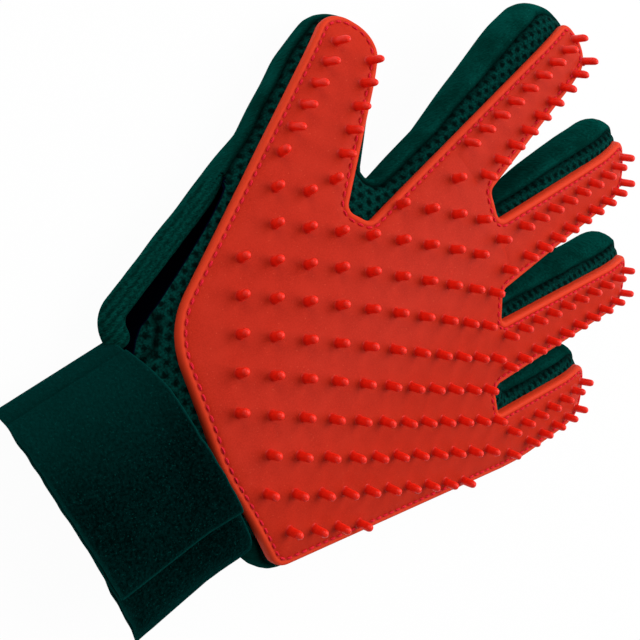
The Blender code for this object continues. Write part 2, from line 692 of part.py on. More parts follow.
def strap_pieces(group):
    """Band round the wrist, the flap that closes it and the hook patch under the flap, still flat."""
    inner = ring_outline(BAND_CLEARANCE)
    outer = ring_outline(BAND_CLEARANCE + BAND_THICKNESS)
    half = STRAP_WIDTH / 2
    band = sheet("wrist_band", [outer, inner], -half, half, 0.0, group)
    on_wrist_frame(band)
    band_top = BAND_CLEARANCE + BAND_THICKNESS
    low = -WRIST_LITTLE_SIDE - band_top + FLAP_END_SETBACK
    high = WRIST_THUMB_SIDE + band_top - BODY_EDGE_RADIUS + FLAP_ROOT_SETBACK
    flap_bottom = band_top + LAYER_GAP + HOOK_THICKNESS + LAYER_GAP
    flap_corners = [(on_wrist(-half, low), FLAP_CORNER_RADIUS), (on_wrist(half, low), FLAP_CORNER_RADIUS),
                    (on_wrist(half, high), FLAP_CORNER_RADIUS), (on_wrist(-half, high), FLAP_CORNER_RADIUS)]
    flap = sheet("strap_flap", [rounded(flap_corners)], flap_bottom, flap_bottom + FLAP_THICKNESS, 0.0, group)
    near = low + HOOK_MARGIN
    hook_corners = [on_wrist(-half + HOOK_MARGIN, near), on_wrist(half - HOOK_MARGIN, near),
                    on_wrist(half - HOOK_MARGIN, near + HOOK_LENGTH),
                    on_wrist(-half + HOOK_MARGIN, near + HOOK_LENGTH)]
    hook = sheet("strap_hook", [hook_corners], band_top + LAYER_GAP,
                 band_top + LAYER_GAP + HOOK_THICKNESS, 0.0, group)
    hinge = (on_wrist(0.0, high), flap_bottom + FLAP_THICKNESS / 2)
    return {"wrist_band": band, "strap_flap": flap, "strap_hook": hook}, hinge


def lowest_and_highest(pieces):
    corners = [vertex.co for piece in pieces.values() for vertex in piece.data.vertices]
    low = Vector([min(corner[axis] for corner in corners) for axis in range(3)])
    high = Vector([max(corner[axis] for corner in corners) for axis in range(3)])
    return low, high


def lay_down(pieces, group):
    """Move the glove over the origin and flatten it where it touches the ground."""
    low, high = lowest_and_highest(pieces)
    move = Vector((-(low.x + high.x) / 2, -(low.y + high.y) / 2, -low.z - REST_FLAT_DEPTH))
    for piece in pieces.values():
        piece.data.transform(Matrix.Translation(move))
    ground = box("ground", Vector((-REACH, -REACH, -REACH)), Vector((REACH, REACH, 0.0)), group)
    for name, piece in pieces.items():
        if min(vertex.co.z for vertex in piece.data.vertices) < 0.0:
            pieces[name] = combined(name + "_flattened", piece, [("DIFFERENCE", ground)], group)
    return move


def joint_lines(hinge, move):
    """Axis of each joint: name, a point on it and its direction."""
    lines = []
    height = PAD_TOP + KNUCKLE_LIFT
    for finger in FINGERS:
        little = on_finger(finger, 0.0, -finger.pad_root)
        thumb = on_finger(finger, 0.0, finger.pad_root)
        first = worn((thumb.x, thumb.y, height))
        second = worn((little.x, little.y, height))
        lines.append((finger.name, (first + second) / 2 + move, (second - first).normalized()))
    place, height = hinge
    direction = Vector((cos(WRIST_ANGLE), sin(WRIST_ANGLE))) * STRAP_WIDTH / 2
    mouth = place - direction
    palm = place + direction
    first = worn((palm.x, palm.y, height))
    second = worn((mouth.x, mouth.y, height))
    lines.append(("strap", (first + second) / 2 + move, (second - first).normalized()))
    return lines


def finish_kind(name):
    kind = name.split("_")[-1]
    return {"band": "strap", "flap": "strap"}.get(kind, kind)


def carry(piece, pivot):
    """Hang a piece on its pivot without moving it."""
    piece.parent = pivot
    piece.matrix_parent_inverse = pivot.matrix_world.inverted()


def main():
    clear_scene()
    parts = collection("grooming_glove")
    cutters = collection("cutters")
    pieces = fabric_pieces(cutters)
    pieces.update(pad_pieces(cutters))
    strap, hinge = strap_pieces(cutters)
    pieces.update(strap)
    pieces["vent_binding"] = vent_binding(cutters)
    for piece in pieces.values():
        bend_piece(piece)
    for name, places in nub_places().items():
        nubs = nub_group(name + "_nubs", places, cutters)
        pieces[name] = combined(name + "_whole", pieces[name], [("UNION", nubs)], cutters)
    move = lay_down(pieces, cutters)
    for leftover in list(cutters.objects):
        if leftover not in pieces.values():
            bpy.data.objects.remove(leftover)
    pivots = {}
    for name, point, axis in joint_lines(hinge, move):
        pivot = link(name + "_pivot", None, parts)
        pivot.location = point
        pivot.rotation_mode = "QUATERNION"
        pivot.rotation_quaternion = axis.to_track_quat("Z", "X")
        pivots[name] = pivot
        print(name, "joint at", [round(value, 5) for value in point], "axis", [round(v, 5) for v in axis])
    bpy.context.view_layer.update()
    finishes = {kind: material(kind) for kind in COLOURS}
    for name, piece in pieces.items():
        piece.name = name
        piece.data.name = name
        piece.data.materials.clear()
        piece.data.materials.append(finishes[finish_kind(name)])
        piece.data.shade_smooth()
        piece.data.set_sharp_from_angle(angle=SMOOTH_ANGLE)
        cutters.objects.unlink(piece)
        parts.objects.link(piece)
        owner = name.split("_")[0]
        if owner in pivots:
            carry(piece, pivots[owner])
    bpy.data.collections.remove(cutters)
    return pieces


if __name__ == "__main__":
    main()
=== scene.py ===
"""Looks of the left-hand pet-grooming glove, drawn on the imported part's own frame.

Every visible piece is drawn on the flat cutting pattern (x towards the fingers, y towards the thumb,
z up from the palm-side face of the fabric) and then takes the bend of the worn glove, as the part does.
"""
import json
from collections import namedtuple
from math import acos, atan2, ceil, cos, pi, radians, sin, sqrt, tan

import bpy
import numpy as np
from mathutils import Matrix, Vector, geometry, noise


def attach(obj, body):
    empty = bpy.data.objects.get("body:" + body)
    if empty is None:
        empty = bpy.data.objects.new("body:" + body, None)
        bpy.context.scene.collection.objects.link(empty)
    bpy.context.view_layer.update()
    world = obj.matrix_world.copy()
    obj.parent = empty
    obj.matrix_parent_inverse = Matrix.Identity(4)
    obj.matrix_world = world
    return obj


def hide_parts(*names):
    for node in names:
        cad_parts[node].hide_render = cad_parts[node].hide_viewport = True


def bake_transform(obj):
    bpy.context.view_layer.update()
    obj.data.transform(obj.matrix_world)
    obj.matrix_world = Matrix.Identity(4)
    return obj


# Sizes that are the same in the part
BODY_DEPTH = 0.0190
PAD_TOP = 0.0023
NUB_HEIGHT = 0.0050
NUB_PITCH = 0.0100
NUB_COLUMN_PITCH = 0.0096
NUB_ROW_TILT = radians(-27.0)
NUB_GRID_START = np.array((-0.0300, 0.0360))
NUB_GRID_COLUMNS = 14
NUB_GRID_FIRST_ROW = -3
NUB_GRID_LAST_ROW = 7
NUB_EDGE_MARGIN = 0.0023
NUB_SPACING_MIN = 0.0062
NUB_GRID_BARE = ((-1, 0), (5, 0), (-3, 6))
FINGER_NUB_BEFORE = 0.0050
INDEX_NUB_BEFORE = 0.0090
INDEX_NUB_ROW = 0.0008
FINGER_NUB_TIP_MARGIN = 0.0032
PAD_WRIST_X = -0.0580
PAD_HEEL_Y = -0.0440
PAD_HEEL_RADIUS = 0.0070
PAD_THUMB_CORNER = np.array((-0.0560, 0.0270))
PAD_THUMB_CORNER_RADIUS = 0.0230
PAD_WRIST_BULGE = np.array((-0.0586, -0.0120))
PAD_WRIST_BULGE_RADIUS = 0.0400
PAD_CROTCH_RADIUS = 0.0024
PAD_THUMB_CROTCH_DEPTH = 0.0108
PAD_THUMB_CROTCH_WIDTH = 0.0072
PAD_LITTLE_RADIUS = 0.0900
FABRIC_HEEL = np.array((-0.0525, -0.0488))
FABRIC_HEEL_RADIUS = 0.0100
FABRIC_THUMB_CORNER = np.array((-0.0655, 0.0395))
FABRIC_THUMB_CORNER_RADIUS = 0.0090
THUMB_WEB_WIDTH = 0.0030
WRIST_CENTRE = np.array((-0.0768, -0.0050))
WRIST_ANGLE = radians(8.0)
WRIST_LITTLE_SIDE = 0.0342
WRIST_THUMB_SIDE = 0.0322
WRIST_SHOULDER = 0.0182
STRAP_WIDTH = 0.0340
BAND_CLEARANCE = 0.0005
BAND_THICKNESS = 0.0014
HOOK_LENGTH = 0.0240
HOOK_MARGIN = 0.0030
KNUCKLE_LIFT = 0.0016

# Sizes that differ from the part's, or that it doesn't have
FABRIC_TIP_REACH = 0.0046
FINGER_NUB_EDGE_MARGIN = 0.0006
FABRIC_CORNER_RADIUS = 0.0008
FABRIC_ROOT_RADIUS = 0.0040
THUMB_WEB_REACH = 0.0045
WRIST_EDGE_RADIUS = 0.0075
FLAP_END_SETBACK = 0.0158

# Droop of the fingertips, which the part doesn't have
DROOP = 0.0034
DROOP_REACH = 0.0200
DROOP_LIMIT = 1.15

# Bend of the worn glove
BEND_ANGLE = radians(20.0)
BEND_RADIUS = 0.0900
BEND_HALF_BAND = 0.0240
WRIST_FLATNESS = 0.62
WRIST_DIP = 0.0030
WRIST_SLOPE_START = -0.0540
WRIST_SLOPE_END = -0.0700
STAND_ROLL = radians(-2.4)
STAND_PITCH = radians(-3.0)

Finger = namedtuple("Finger", "name x y angle length pad_root pad_thumb pad_little skew"
                              " thumb_crotch little_crotch low_root high_root low_tip high_tip"
                              " nub_pitch thumb_start thumb_row thumb_slope"
                              " little_start little_row little_slope"
                              " bulge bulge_share lean_along lean_across")

# For each finger, from the little finger to the thumb: knuckle centre, direction and pad length; pad half
# widths at the root and at the tip's thumb and little sides, the thumb side's share of the tip's rounding,
# depths of the pad's crotches beside it; fabric limits across the knuckle and across the tip; nub pitch,
# then first place, distance from the finger's line and its change per metre for the two nub rows; size
# and place of the fabric's bulge on the thumb side; how far the nubs lean per metre of height
FINGERS = (
    Finger("little", 0.0581, -0.0598, radians(-5.5), 0.0452, 0.0109, 0.0092, 0.0094, 0.40,
           0.0103, 0.0, -0.0159, 0.0162, -0.0116, 0.0149,
           0.0077, 0.0028, 0.0036, -0.02, 0.0061, -0.0049, -0.02, 0.0010, 0.60, 0.0, 0.0),
    Finger("ring", 0.0581, -0.0272, radians(-3.8), 0.0730, 0.0102, 0.0082, 0.0090, 0.35,
           0.0068, 0.0103, -0.0151, 0.0151, -0.0110, 0.0152,
           0.0081, 0.0026, 0.0062, -0.04, 0.0026, -0.0045, -0.01, 0.0010, 0.60, 0.0, 0.0),
    Finger("middle", 0.0591, 0.0054, radians(5.2), 0.0696, 0.0106, 0.0082, 0.0092, 0.35,
           0.0026, 0.0068, -0.0155, 0.0152, -0.0112, 0.0160,
           0.0075, 0.0059, 0.0060, -0.05, 0.0054, -0.0038, -0.04, 0.0018, 0.55, 0.0, -0.10),
    Finger("index", 0.0521, 0.0350, radians(21.0), 0.0652, 0.0105, 0.0064, 0.0080, 0.30,
           0.0, 0.0004, -0.0130, 0.0177, -0.0110, 0.0206,
           0.0074, 0.0026, 0.0056, -0.08, 0.0004, -0.0048, -0.03, 0.0024, 0.70, -0.12, -0.32),
    Finger("thumb", 0.0039, 0.0541, radians(43.5), 0.0440, 0.0143, 0.0101, 0.0083, 0.50,
           0.0, 0.0, -0.0175, 0.0199, -0.0097, 0.0107,
           0.0075, 0.0034, 0.0095, -0.13, 0.0034, -0.0072, 0.03, 0.0020, 0.55, -0.13, -0.36),
)
LITTLE, _, _, INDEX, THUMB = FINGERS
PALM_STRIPS = ("palm_outer", "palm_middle", "palm_inner")

# From the knuckle line: where a finger's pieces start; and how many of its half widths to each side of its
# middle line a finger owns
FINGER_CUT = -0.0030
FINGER_SPAN_MARGIN = 1.25

# Rounding of the fingers' ends
FULL_ROUND = 0.90
EVEN_SKEW = 0.5
BULGE_RADIUS = 0.0300

# Fineness of the meshes
ARC_STEP = radians(8.0)
OUTLINE_STEP = 0.0009
GRID_STEP = 0.0024
WELD = 0.000001
CHUNK = 400

# Pattern coordinates per metre, and the least height over the floor
UV_SCALE = 100.0
FLOOR_GAP = 0.00005

# Section of the pad: distance from its edge and height of the top there; its foot, and the orange rim's
# width and the share of it where the colour starts to fade
PAD_SECTION = np.array(((0.00000, 0.00090), (0.00008, 0.00150), (0.00030, 0.00196), (0.00065, 0.00224),
                        (0.00100, 0.00232), (0.00135, 0.00230), (0.00170, 0.00219), (0.00195, 0.00208),
                        (0.00220, 0.00203), (0.00245, 0.00208), (0.00275, 0.00220), (0.00320, 0.00230)))
PAD_FOOT = -0.0004
RIM_WIDTH = 0.0018
RIM_FADE_START = 0.8

# Section of a nub: radius and height over the pad
NUB_SECTION = ((0.00165, -0.00010), (0.00142, 0.00008), (0.00131, 0.00026), (0.00127, 0.00060),
               (0.00125, 0.00180), (0.00124, 0.00300), (0.00121, 0.00380), (0.00109, 0.00432),
               (0.00084, 0.00472), (0.00046, 0.00494))
NUB_SIDES = 14

# Stitches round the pad
STITCH_INSET = 0.00222
STITCH_PITCH = 0.0028
STITCH_LENGTH = 0.0020
STITCH_RADIUS = 0.00036
STITCH_HEIGHT = 0.00202
STITCH_ARCH = 0.00030
STITCH_END_MIN = 0.04
STITCH_STATIONS = 7
STITCH_SIDES = 6

# Ends of the fabric at the wrist: its mouth, and a place past it that keeps the section full up to the mouth
MOUTH = -0.0160
OPEN_MOUTH = -0.0400

# Fabric: its round and wavy edge, the velvet roll, the seam beside it and the hollow under the pad
FLANK_DEPTH = 0.0090
SEAM_SHARE = 0.52
SEAM_INSET_MIN = 0.0024
SEAM_INSET_MAX = 0.0090
SEAM_SMOOTHING = 8
OUTLINE_WAVE = 0.0005
OUTLINE_WAVE_SIZE = 0.0130
OUTLINE_WAVE_SEED = 9.0
FABRIC_LOOPS = (0.0, 0.0003, 0.0008, 0.0015, 0.0025, 0.0036, 0.0048, 0.0064, 0.0082)
VELVET_PUFF = 0.0008
SEAM_GROOVE = 0.0010
SEAM_GROOVE_WIDTH = 0.0009
# Width of the painted shade in the crease along the seam
CREASE_SHADE_WIDTH = 0.0008
EDGE_SNAP = 0.0005
PAD_PRESS = 0.0010
PAD_PRESS_WIDTH = 0.0030
# Gap of the dark lining sheets, which are painted shade inside the palm
SHADE_LINING_GAP = 0.0015

# Lumps of the fabric: size, height and seed of two layers, and the distances from its edge where they show
FABRIC_LUMPS = ((0.0120, 0.0004, 3.0), (0.0045, 0.00018, 7.0))
LUMPS_GROW = (0.0, 0.0020)
LUMPS_FADE = (0.0080, 0.0110)

# Hem beside the vent slit, along the thumb edge of the palm
HEM_LENGTH = 0.0560
HEM_START = 0.0010
HEM_TURN = radians(62.0)
HEM_TURN_RADIUS = 0.0068
HEM_TURN_STEPS = 12
HEM_TAIL = 0.0045
HEM_ROUND_SHARE = 0.05
HEM_FOOT = 0.08
HEM_FOOT_SHARE = 0.30
HEM_TAPER = 0.75
HEM_TAPER_START = 0.70
HEM_LUMPS = 0.05
HEM_LUMP_SIZE = 0.0060
HEM_LUMP_SEED = 2.0
HEM_INSET = 0.0029
HEM_HALF_WIDTH = 0.0033
HEM_HALF_HEIGHT = 0.0037
HEM_HEIGHT = -0.0052
HEM_STEPS = 90
HEM_SIDES = 20

# Slit between the hem and the mesh, along the free velvet edge, and the end of the mesh corner below it
SLIT_LENGTH = 0.0470
SLIT_WIDTH = 0.0076
SLIT_TAPER = 0.37
SLIT_SPREAD = 0.42
SLIT_START = -0.0300
SLIT_STEPS = 24
VENT_CORNER = 0.0020

# Strap
FLAP_ROOT = 0.0296
FLAP_THICKNESS = 0.0017
FLAP_REST_GAP = 0.0002
FLAP_HOOK_LIFT = 0.0014
FLAP_RISE_FROM_ROOT = (0.0, 0.0070)
FLAP_RISE_FROM_END = (-0.0010, 0.0030)
FLAP_ROOT_TAPER = 0.0050
FLAP_END_TAPER = 0.0009
FLAP_END_LEFT = 0.0002
FLAP_THICKNESS_MIN = 0.0001
RING_STEP = 0.0009
ALONG_STEP = 0.0012
STRAP_EDGE_STEPS = 7
EDGE_WAVE = 0.00045
EDGE_WAVE_SIZE = 0.0045
EDGE_WAVE_SEED = 11.0
MOUTH_OVERHANG = 0.0034
CORNER_CUT = 0.0032
CORNER_START = 0.0140
# Painted light towards the strap's thumb side; lighter cut edges, partly their own colour and partly painted
# sheen
THUMB_SIDE_PAINTED_LIGHT = 0.36
EDGE_COLOUR_AND_PAINTED_SHEEN = 0.7
EDGE_COLOUR_AND_PAINTED_SHEEN_WIDTH = 0.0010
FLEECE_LUMPS = 0.00014
FLEECE_LUMP_SIZE = 0.0022
FLEECE_LUMP_SEED = 5.0
HOOK_TAPE_LOW = 0.0005
HOOK_TAPE_HIGH = 0.0012
HOOK_PITCH = 0.0013
HOOK_RADIUS = 0.0003
HOOK_REACH = 0.0005
HOOK_SIDES = 4

# Colours, as linear red, green and blue; a pair is the dark and the light end of a mix
RUBBER_COLOUR = (0.55, 0.024, 0.009)
RUBBER_GRAIN_COLOURS = ((0.50, 0.020, 0.007), (0.58, 0.027, 0.010))
RUBBER_CLOUD_COLOUR = (0.62, 0.032, 0.013)
RUBBER_SPECK_COLOUR = (0.74, 0.110, 0.050)
RUBBER_RIM_COLOUR = (0.74, 0.048, 0.015)
NUB_COLOUR = (0.93, 0.014, 0.005)
NUB_GRAIN_COLOURS = ((0.94, 0.016, 0.005), (1.00, 0.026, 0.008))
# Painted shade at the roots of the nubs
NUB_ROOT_SHADE_COLOUR = (0.66, 0.014, 0.005)
THREAD_COLOUR = (0.68, 0.010, 0.036)
THREAD_TWIST_COLOURS = ((0.66, 0.010, 0.024), (0.95, 0.030, 0.060))
MESH_COLOUR = (0.002, 0.036, 0.027)
MESH_YARN_COLOURS = ((0.0006, 0.019, 0.016), (0.0012, 0.056, 0.046))
MESH_HOLE_COLOUR = (0.0003, 0.0060, 0.0052)
# Painted shade in the seam creases
CREASE_SHADE_COLOUR = (0.0002, 0.0030, 0.0028)
VELVET_COLOURS = ((0.0004, 0.022, 0.017), (0.0010, 0.050, 0.040))
VELVET_LINT_COLOUR = (0.010, 0.150, 0.125)
VELVET_SHEEN_COLOUR = (0.004, 0.42, 0.34)
HEM_COLOURS = ((0.0003, 0.014, 0.011), (0.0012, 0.056, 0.044))
PILE_COLOURS = ((0.0001, 0.0030, 0.0028), (0.0004, 0.0125, 0.0115))
# Light specks of the fleece, also its lighter edges and its painted light towards the thumb side
PILE_SPECK_EDGE_AND_PAINTED_LIGHT_COLOUR = (0.0012, 0.0520, 0.0450)
PILE_SHEEN_COLOUR = (0.002, 0.36, 0.33)
HOOK_COLOURS = ((0.0008, 0.0060, 0.0060), (0.0016, 0.0110, 0.0110))
# Lining inside the glove: a navy tint of its own, made near black as painted shade of the hollow
SHADE_LINING_COLOURS = ((0.0012, 0.0024, 0.0150), (0.0020, 0.0040, 0.0230))
FLOOR_COLOUR = (0.90, 0.90, 0.90)
WHITE = (1.0, 1.0, 1.0, 1.0)

# Fineness of the finishes: noise per metre, or per pattern coordinate along and across the glove; for the
# mesh also the pitch of its holes, and for the hem the slant of its stitches
RUBBER_GRAIN = 2600.0
RUBBER_CLOUDS = 170.0
RUBBER_SPECKS = 1700.0
NUB_GRAIN = 1800.0
THREAD_TWIST = 900.0
MESH_PITCH = 0.0032
MESH_GRAIN = 1500.0
VELVET_STREAKS = (9.0, 26.0, 1.0)
VELVET_CLOUDS = 120.0
VELVET_LINT = 1300.0
HEM_RIBS = 1.75
HEM_SLANTS = (8.0, 30.0, 1.0)
HEM_SLANT_TURN = radians(35.0)
HEM_FUZZ = 1200.0
PILE_FUZZ = 1300.0
PILE_CLOUDS = 60.0
PILE_SPECKS = 1900.0
WEAVE_CHECKS = 16.0
WEAVE_FUZZ = 1200.0

# Strength of the painted shade in the seam creases, and roughness of the sheen
CREASE_SHADE_SHARE = 0.85
SHEEN_ROUGHNESS = 0.45

# Floor and light
FLOOR_REACH = 3.0
FLOOR_GLOW = 0.97
WORLD_LIGHT = 0.30
LIGHT_TARGET = Vector((0.0, 0.0, 0.02))
KEY_PLACE = Vector((0.50, 0.02, 0.64))
KEY_SIZE = 0.9
KEY_POWER = 6.3
FILL_PLACE = Vector((-0.15, 0.75, 0.45))
FILL_SIZE = 0.6
FILL_POWER = 2.0

# Camera, fitted to the photo
CAMERA_PLACE = (-0.21778, 0.09296, 0.26025)
CAMERA_TURN = (radians(-3.700), radians(-41.512), radians(-19.974))
CAMERA_LENS = 64.69
CAMERA_SENSOR = 36.0
CAMERA_CLIP_START = 0.01


# Places on the flat pattern

def heading(angle):
    """Unit vectors along an angle and to its left."""
    return np.array((cos(angle), sin(angle))), np.array((-sin(angle), cos(angle)))


def on_finger(finger, along, across):
    direction, side = heading(finger.angle)
    return np.array((finger.x, finger.y)) + direction * along + side * across


def from_finger(finger, points):
    """Distances past a finger's knuckle line and towards its thumb side."""
    direction, side = heading(finger.angle)
    offset = points - np.array((finger.x, finger.y))
    return offset @ direction, offset @ side


def on_wrist(along, across):
    direction, side = heading(WRIST_ANGLE)
    return WRIST_CENTRE + direction * along + side * across


def angle_between(first, second):
    share = np.dot(first, second) / (np.linalg.norm(first) * np.linalg.norm(second))
    return acos(max(-1.0, min(1.0, share)))


def rounded(corners):
    """Closed outline through (point, radius) corners, with each corner turned into an arc."""
    outline = []
    for index, (point, radius) in enumerate(corners):
        before = corners[index - 1][0] - point
        after = corners[(index + 1) % len(corners)][0] - point
        before = before / np.linalg.norm(before)
        after = after / np.linalg.norm(after)
        opening = angle_between(before, after)
        if radius == 0.0:
            outline.append(point)
            continue
        middle = before + after
        centre = point + middle / np.linalg.norm(middle) * (radius / sin(opening / 2))
        start = point + before * (radius / tan(opening / 2)) - centre
        turn = pi - opening
        if before[0] * after[1] - before[1] * after[0] > 0.0:
            turn = -turn
        steps = max(1, ceil(abs(turn) / ARC_STEP))
        for step in range(steps + 1):
            swing = turn * step / steps
            outline.append(centre + np.array((cos(swing) * start[0] - sin(swing) * start[1],
                                              sin(swing) * start[0] + cos(swing) * start[1])))
    return np.array(outline)


def round_end(before, low, high, after, skew):
    """The two corners of a finger's end, with radii that make it round and skewed to its thumb side."""
    width = np.linalg.norm(high - low) * FULL_ROUND
    low_radius = width * (1.0 - skew) / tan(angle_between(low - before, high - low) / 2)
    high_radius = width * skew / tan(angle_between(high - low, after - high) / 2)
    return [(low, low_radius), (high, high_radius)]


def pad_end(finger):
    return round_end(on_finger(finger, 0.0, -finger.pad_root),
                     on_finger(finger, finger.length, -finger.pad_little),
                     on_finger(finger, finger.length, finger.pad_thumb),
                     on_finger(finger, 0.0, finger.pad_root), finger.skew)


def fabric_end(finger):
    """Corners of the fabric's round end on a finger, then of the bulge on its thumb side."""
    tip = finger.length + FABRIC_TIP_REACH
    share = finger.bulge_share
    swell = finger.high_root + (finger.high_tip - finger.high_root) * share + finger.bulge
    bulge = on_finger(finger, tip * share, swell)
    end = round_end(on_finger(finger, 0.0, finger.low_root), on_finger(finger, tip, finger.low_tip),
                    on_finger(finger, tip, finger.high_tip), bulge, EVEN_SKEW)
    return end + [(bulge, BULGE_RADIUS)]


def pad_outline():
    """Edge of the rubber pad, counterclockwise from the heel."""
    corners = [(np.array((PAD_WRIST_X + PAD_HEEL_RADIUS, PAD_HEEL_Y)), PAD_HEEL_RADIUS)]
    for finger in FINGERS[:-1]:
        radius = PAD_LITTLE_RADIUS if finger is LITTLE else PAD_CROTCH_RADIUS
        corners.append((on_finger(finger, -finger.little_crotch, -finger.pad_root), radius))
        corners += pad_end(finger)
        if finger is not INDEX:
            corners.append((on_finger(finger, -finger.thumb_crotch, finger.pad_root), PAD_CROTCH_RADIUS))
    inner = -THUMB.pad_root
    crotch = on_finger(THUMB, -PAD_THUMB_CROTCH_DEPTH, inner - PAD_THUMB_CROTCH_WIDTH)
    corners.append((crotch, PAD_CROTCH_RADIUS))
    corners.append((on_finger(THUMB, -PAD_THUMB_CROTCH_DEPTH, inner), PAD_CROTCH_RADIUS))
    corners += pad_end(THUMB)
    corners.append((PAD_THUMB_CORNER, PAD_THUMB_CORNER_RADIUS))
    corners.append((PAD_WRIST_BULGE, PAD_WRIST_BULGE_RADIUS))
    return resampled(rounded(corners), OUTLINE_STEP)


def fabric_outline(mouth):
    """Edge of the fabric, counterclockwise from the little side of its mouth at the wrist."""
    small = FABRIC_CORNER_RADIUS
    corners = [(on_wrist(mouth, -WRIST_LITTLE_SIDE), 0.0),
               (on_wrist(WRIST_SHOULDER, -WRIST_LITTLE_SIDE), small),
               (FABRIC_HEEL, FABRIC_HEEL_RADIUS)]
    for finger in FINGERS[:-1]:
        radius = FABRIC_ROOT_RADIUS if finger is LITTLE else small
        corners.append((on_finger(finger, 0.0, finger.low_root), radius))
        corners += fabric_end(finger)
        corners.append((on_finger(finger, 0.0, finger.high_root), small))
    corners.append((on_finger(THUMB, THUMB_WEB_REACH, THUMB.low_root - THUMB_WEB_WIDTH), small))
    corners.append((on_finger(THUMB, THUMB_WEB_REACH, THUMB.low_root), small))
    corners += fabric_end(THUMB)
    corners.append((on_finger(THUMB, 0.0, THUMB.high_root), FABRIC_ROOT_RADIUS))
    corners.append((FABRIC_THUMB_CORNER, FABRIC_THUMB_CORNER_RADIUS))
    corners.append((on_wrist(WRIST_SHOULDER, WRIST_THUMB_SIDE), small))
    corners.append((on_wrist(mouth, WRIST_THUMB_SIDE), 0.0))
    outline = resampled(rounded(corners), OUTLINE_STEP)
    wave = OUTLINE_WAVE * waves(outline, OUTLINE_WAVE_SIZE, OUTLINE_WAVE_SEED)
    return outline + inward(outline) * wave[:, None]


def seam_outline(outline):
    """Seam between the velvet and the mesh: a share of the way from the fabric's edge to the pad."""
    inset = np.clip(depth_in(outline, pad_outline()) * SEAM_SHARE, SEAM_INSET_MIN, SEAM_INSET_MAX)
    ring = np.concatenate((inset[-SEAM_SMOOTHING:], inset, inset[:SEAM_SMOOTHING]))
    window = np.full(2 * SEAM_SMOOTHING + 1, 1.0 / (2 * SEAM_SMOOTHING + 1))
    return outline + inward(outline) * np.convolve(ring, window, "valid")[:, None]


def run_lengths(line):
    """Distance of each point of a line from its start, along the line."""
    return np.concatenate(((0.0,), np.cumsum(np.linalg.norm(np.diff(line, axis=0), axis=1))))


def along_line(line, marks, places):
    """Points at some distances along a line whose own points lie at the marks."""
    return np.column_stack([np.interp(places, marks, line[:, axis]) for axis in (0, 1)])


def resampled(outline, step):
    """Closed outline with evenly spaced points."""
    ring = np.vstack((outline, outline[:1]))
    marks = run_lengths(ring)
    return along_line(ring, marks, np.linspace(0.0, marks[-1], int(marks[-1] / step), endpoint=False))


def inward(loop):
    """Unit vectors from the points of a counterclockwise loop to its inside."""
    run = np.roll(loop, -1, axis=0) - np.roll(loop, 1, axis=0)
    run = run / np.linalg.norm(run, axis=1, keepdims=True)
    return np.column_stack((-run[:, 1], run[:, 0]))


def depth_in(points, loop):
    """Distance from each point to the loop."""
    run = np.roll(loop, -1, axis=0) - loop
    square = (run * run).sum(axis=1)
    nearest = np.empty(len(points))
    for first in range(0, len(points), CHUNK):
        offset = points[first:first + CHUNK, None, :] - loop[None, :, :]
        share = np.clip((offset * run).sum(axis=2) / square, 0.0, 1.0)
        gap = offset - share[:, :, None] * run
        nearest[first:first + CHUNK] = np.sqrt((gap * gap).sum(axis=2).min(axis=1))
    return nearest


def inside(points, loop):
    """True for the points inside the loop."""
    following = np.roll(loop, -1, axis=0)
    result = np.zeros(len(points), bool)
    for (x0, y0), (x1, y1) in zip(loop, following):
        if y0 == y1:
            continue
        crosses = (points[:, 1] < y0) != (points[:, 1] < y1)
        reach = x0 + (x1 - x0) * (points[:, 1] - y0) / (y1 - y0)
        result ^= crosses & (points[:, 0] < reach)
    return result


def smoothstep(start, end, value):
    share = np.clip((value - start) / (end - start), 0.0, 1.0)
    return share * share * (3.0 - 2.0 * share)


def worn(points):
    """Places in space of points (x, y, z) of the flat pattern."""
    x, y, z = points[:, 0], points[:, 1], points[:, 2]
    wrist = smoothstep(WRIST_SLOPE_START, WRIST_SLOPE_END, x)
    z = np.where(z < 0.0, z * (1.0 - (1.0 - WRIST_FLATNESS) * wrist), z) - WRIST_DIP * wrist
    along = x * cos(BEND_ANGLE) + y * sin(BEND_ANGLE)
    across = y * cos(BEND_ANGLE) - x * sin(BEND_ANGLE)
    bent = np.clip(across, -BEND_HALF_BAND, BEND_HALF_BAND)
    straight = across - bent
    angle = bent / BEND_RADIUS
    side = (BEND_RADIUS + z) * np.sin(angle) + straight * np.cos(angle)
    height = (BEND_RADIUS + z) * np.cos(angle) - BEND_RADIUS - straight * np.sin(angle)
    pitched = along * cos(STAND_PITCH) + height * sin(STAND_PITCH)
    height = height * cos(STAND_PITCH) - along * sin(STAND_PITCH)
    rolled = side * cos(STAND_ROLL) - height * sin(STAND_ROLL)
    height = side * sin(STAND_ROLL) + height * cos(STAND_ROLL)
    return np.column_stack((pitched * cos(BEND_ANGLE) - rolled * sin(BEND_ANGLE),
                            pitched * sin(BEND_ANGLE) + rolled * cos(BEND_ANGLE), height))


def drooped(points):
    """Pattern points with the palm-side faces of the fingertips let down towards their ends."""
    fall = np.zeros(len(points))
    nearest = np.full(len(points), np.inf)
    for finger in FINGERS:
        along, across = from_finger(finger, points[:, :2])
        off = np.where(along > 0.0, np.abs(across - (finger.low_root + finger.high_root) / 2), np.inf)
        past = np.clip((along - finger.length + DROOP_REACH) / DROOP_REACH, 0.0, DROOP_LIMIT)
        fall = np.where(off < nearest, DROOP * past * past, fall)
        nearest = np.minimum(nearest, off)
    share = np.clip(1.0 + points[:, 2] / BODY_DEPTH, 0.0, 1.0)
    return np.column_stack((points[:, :2], points[:, 2] - fall * share))


def flat_point(place, height):
    return np.array(((place[0], place[1], height),))


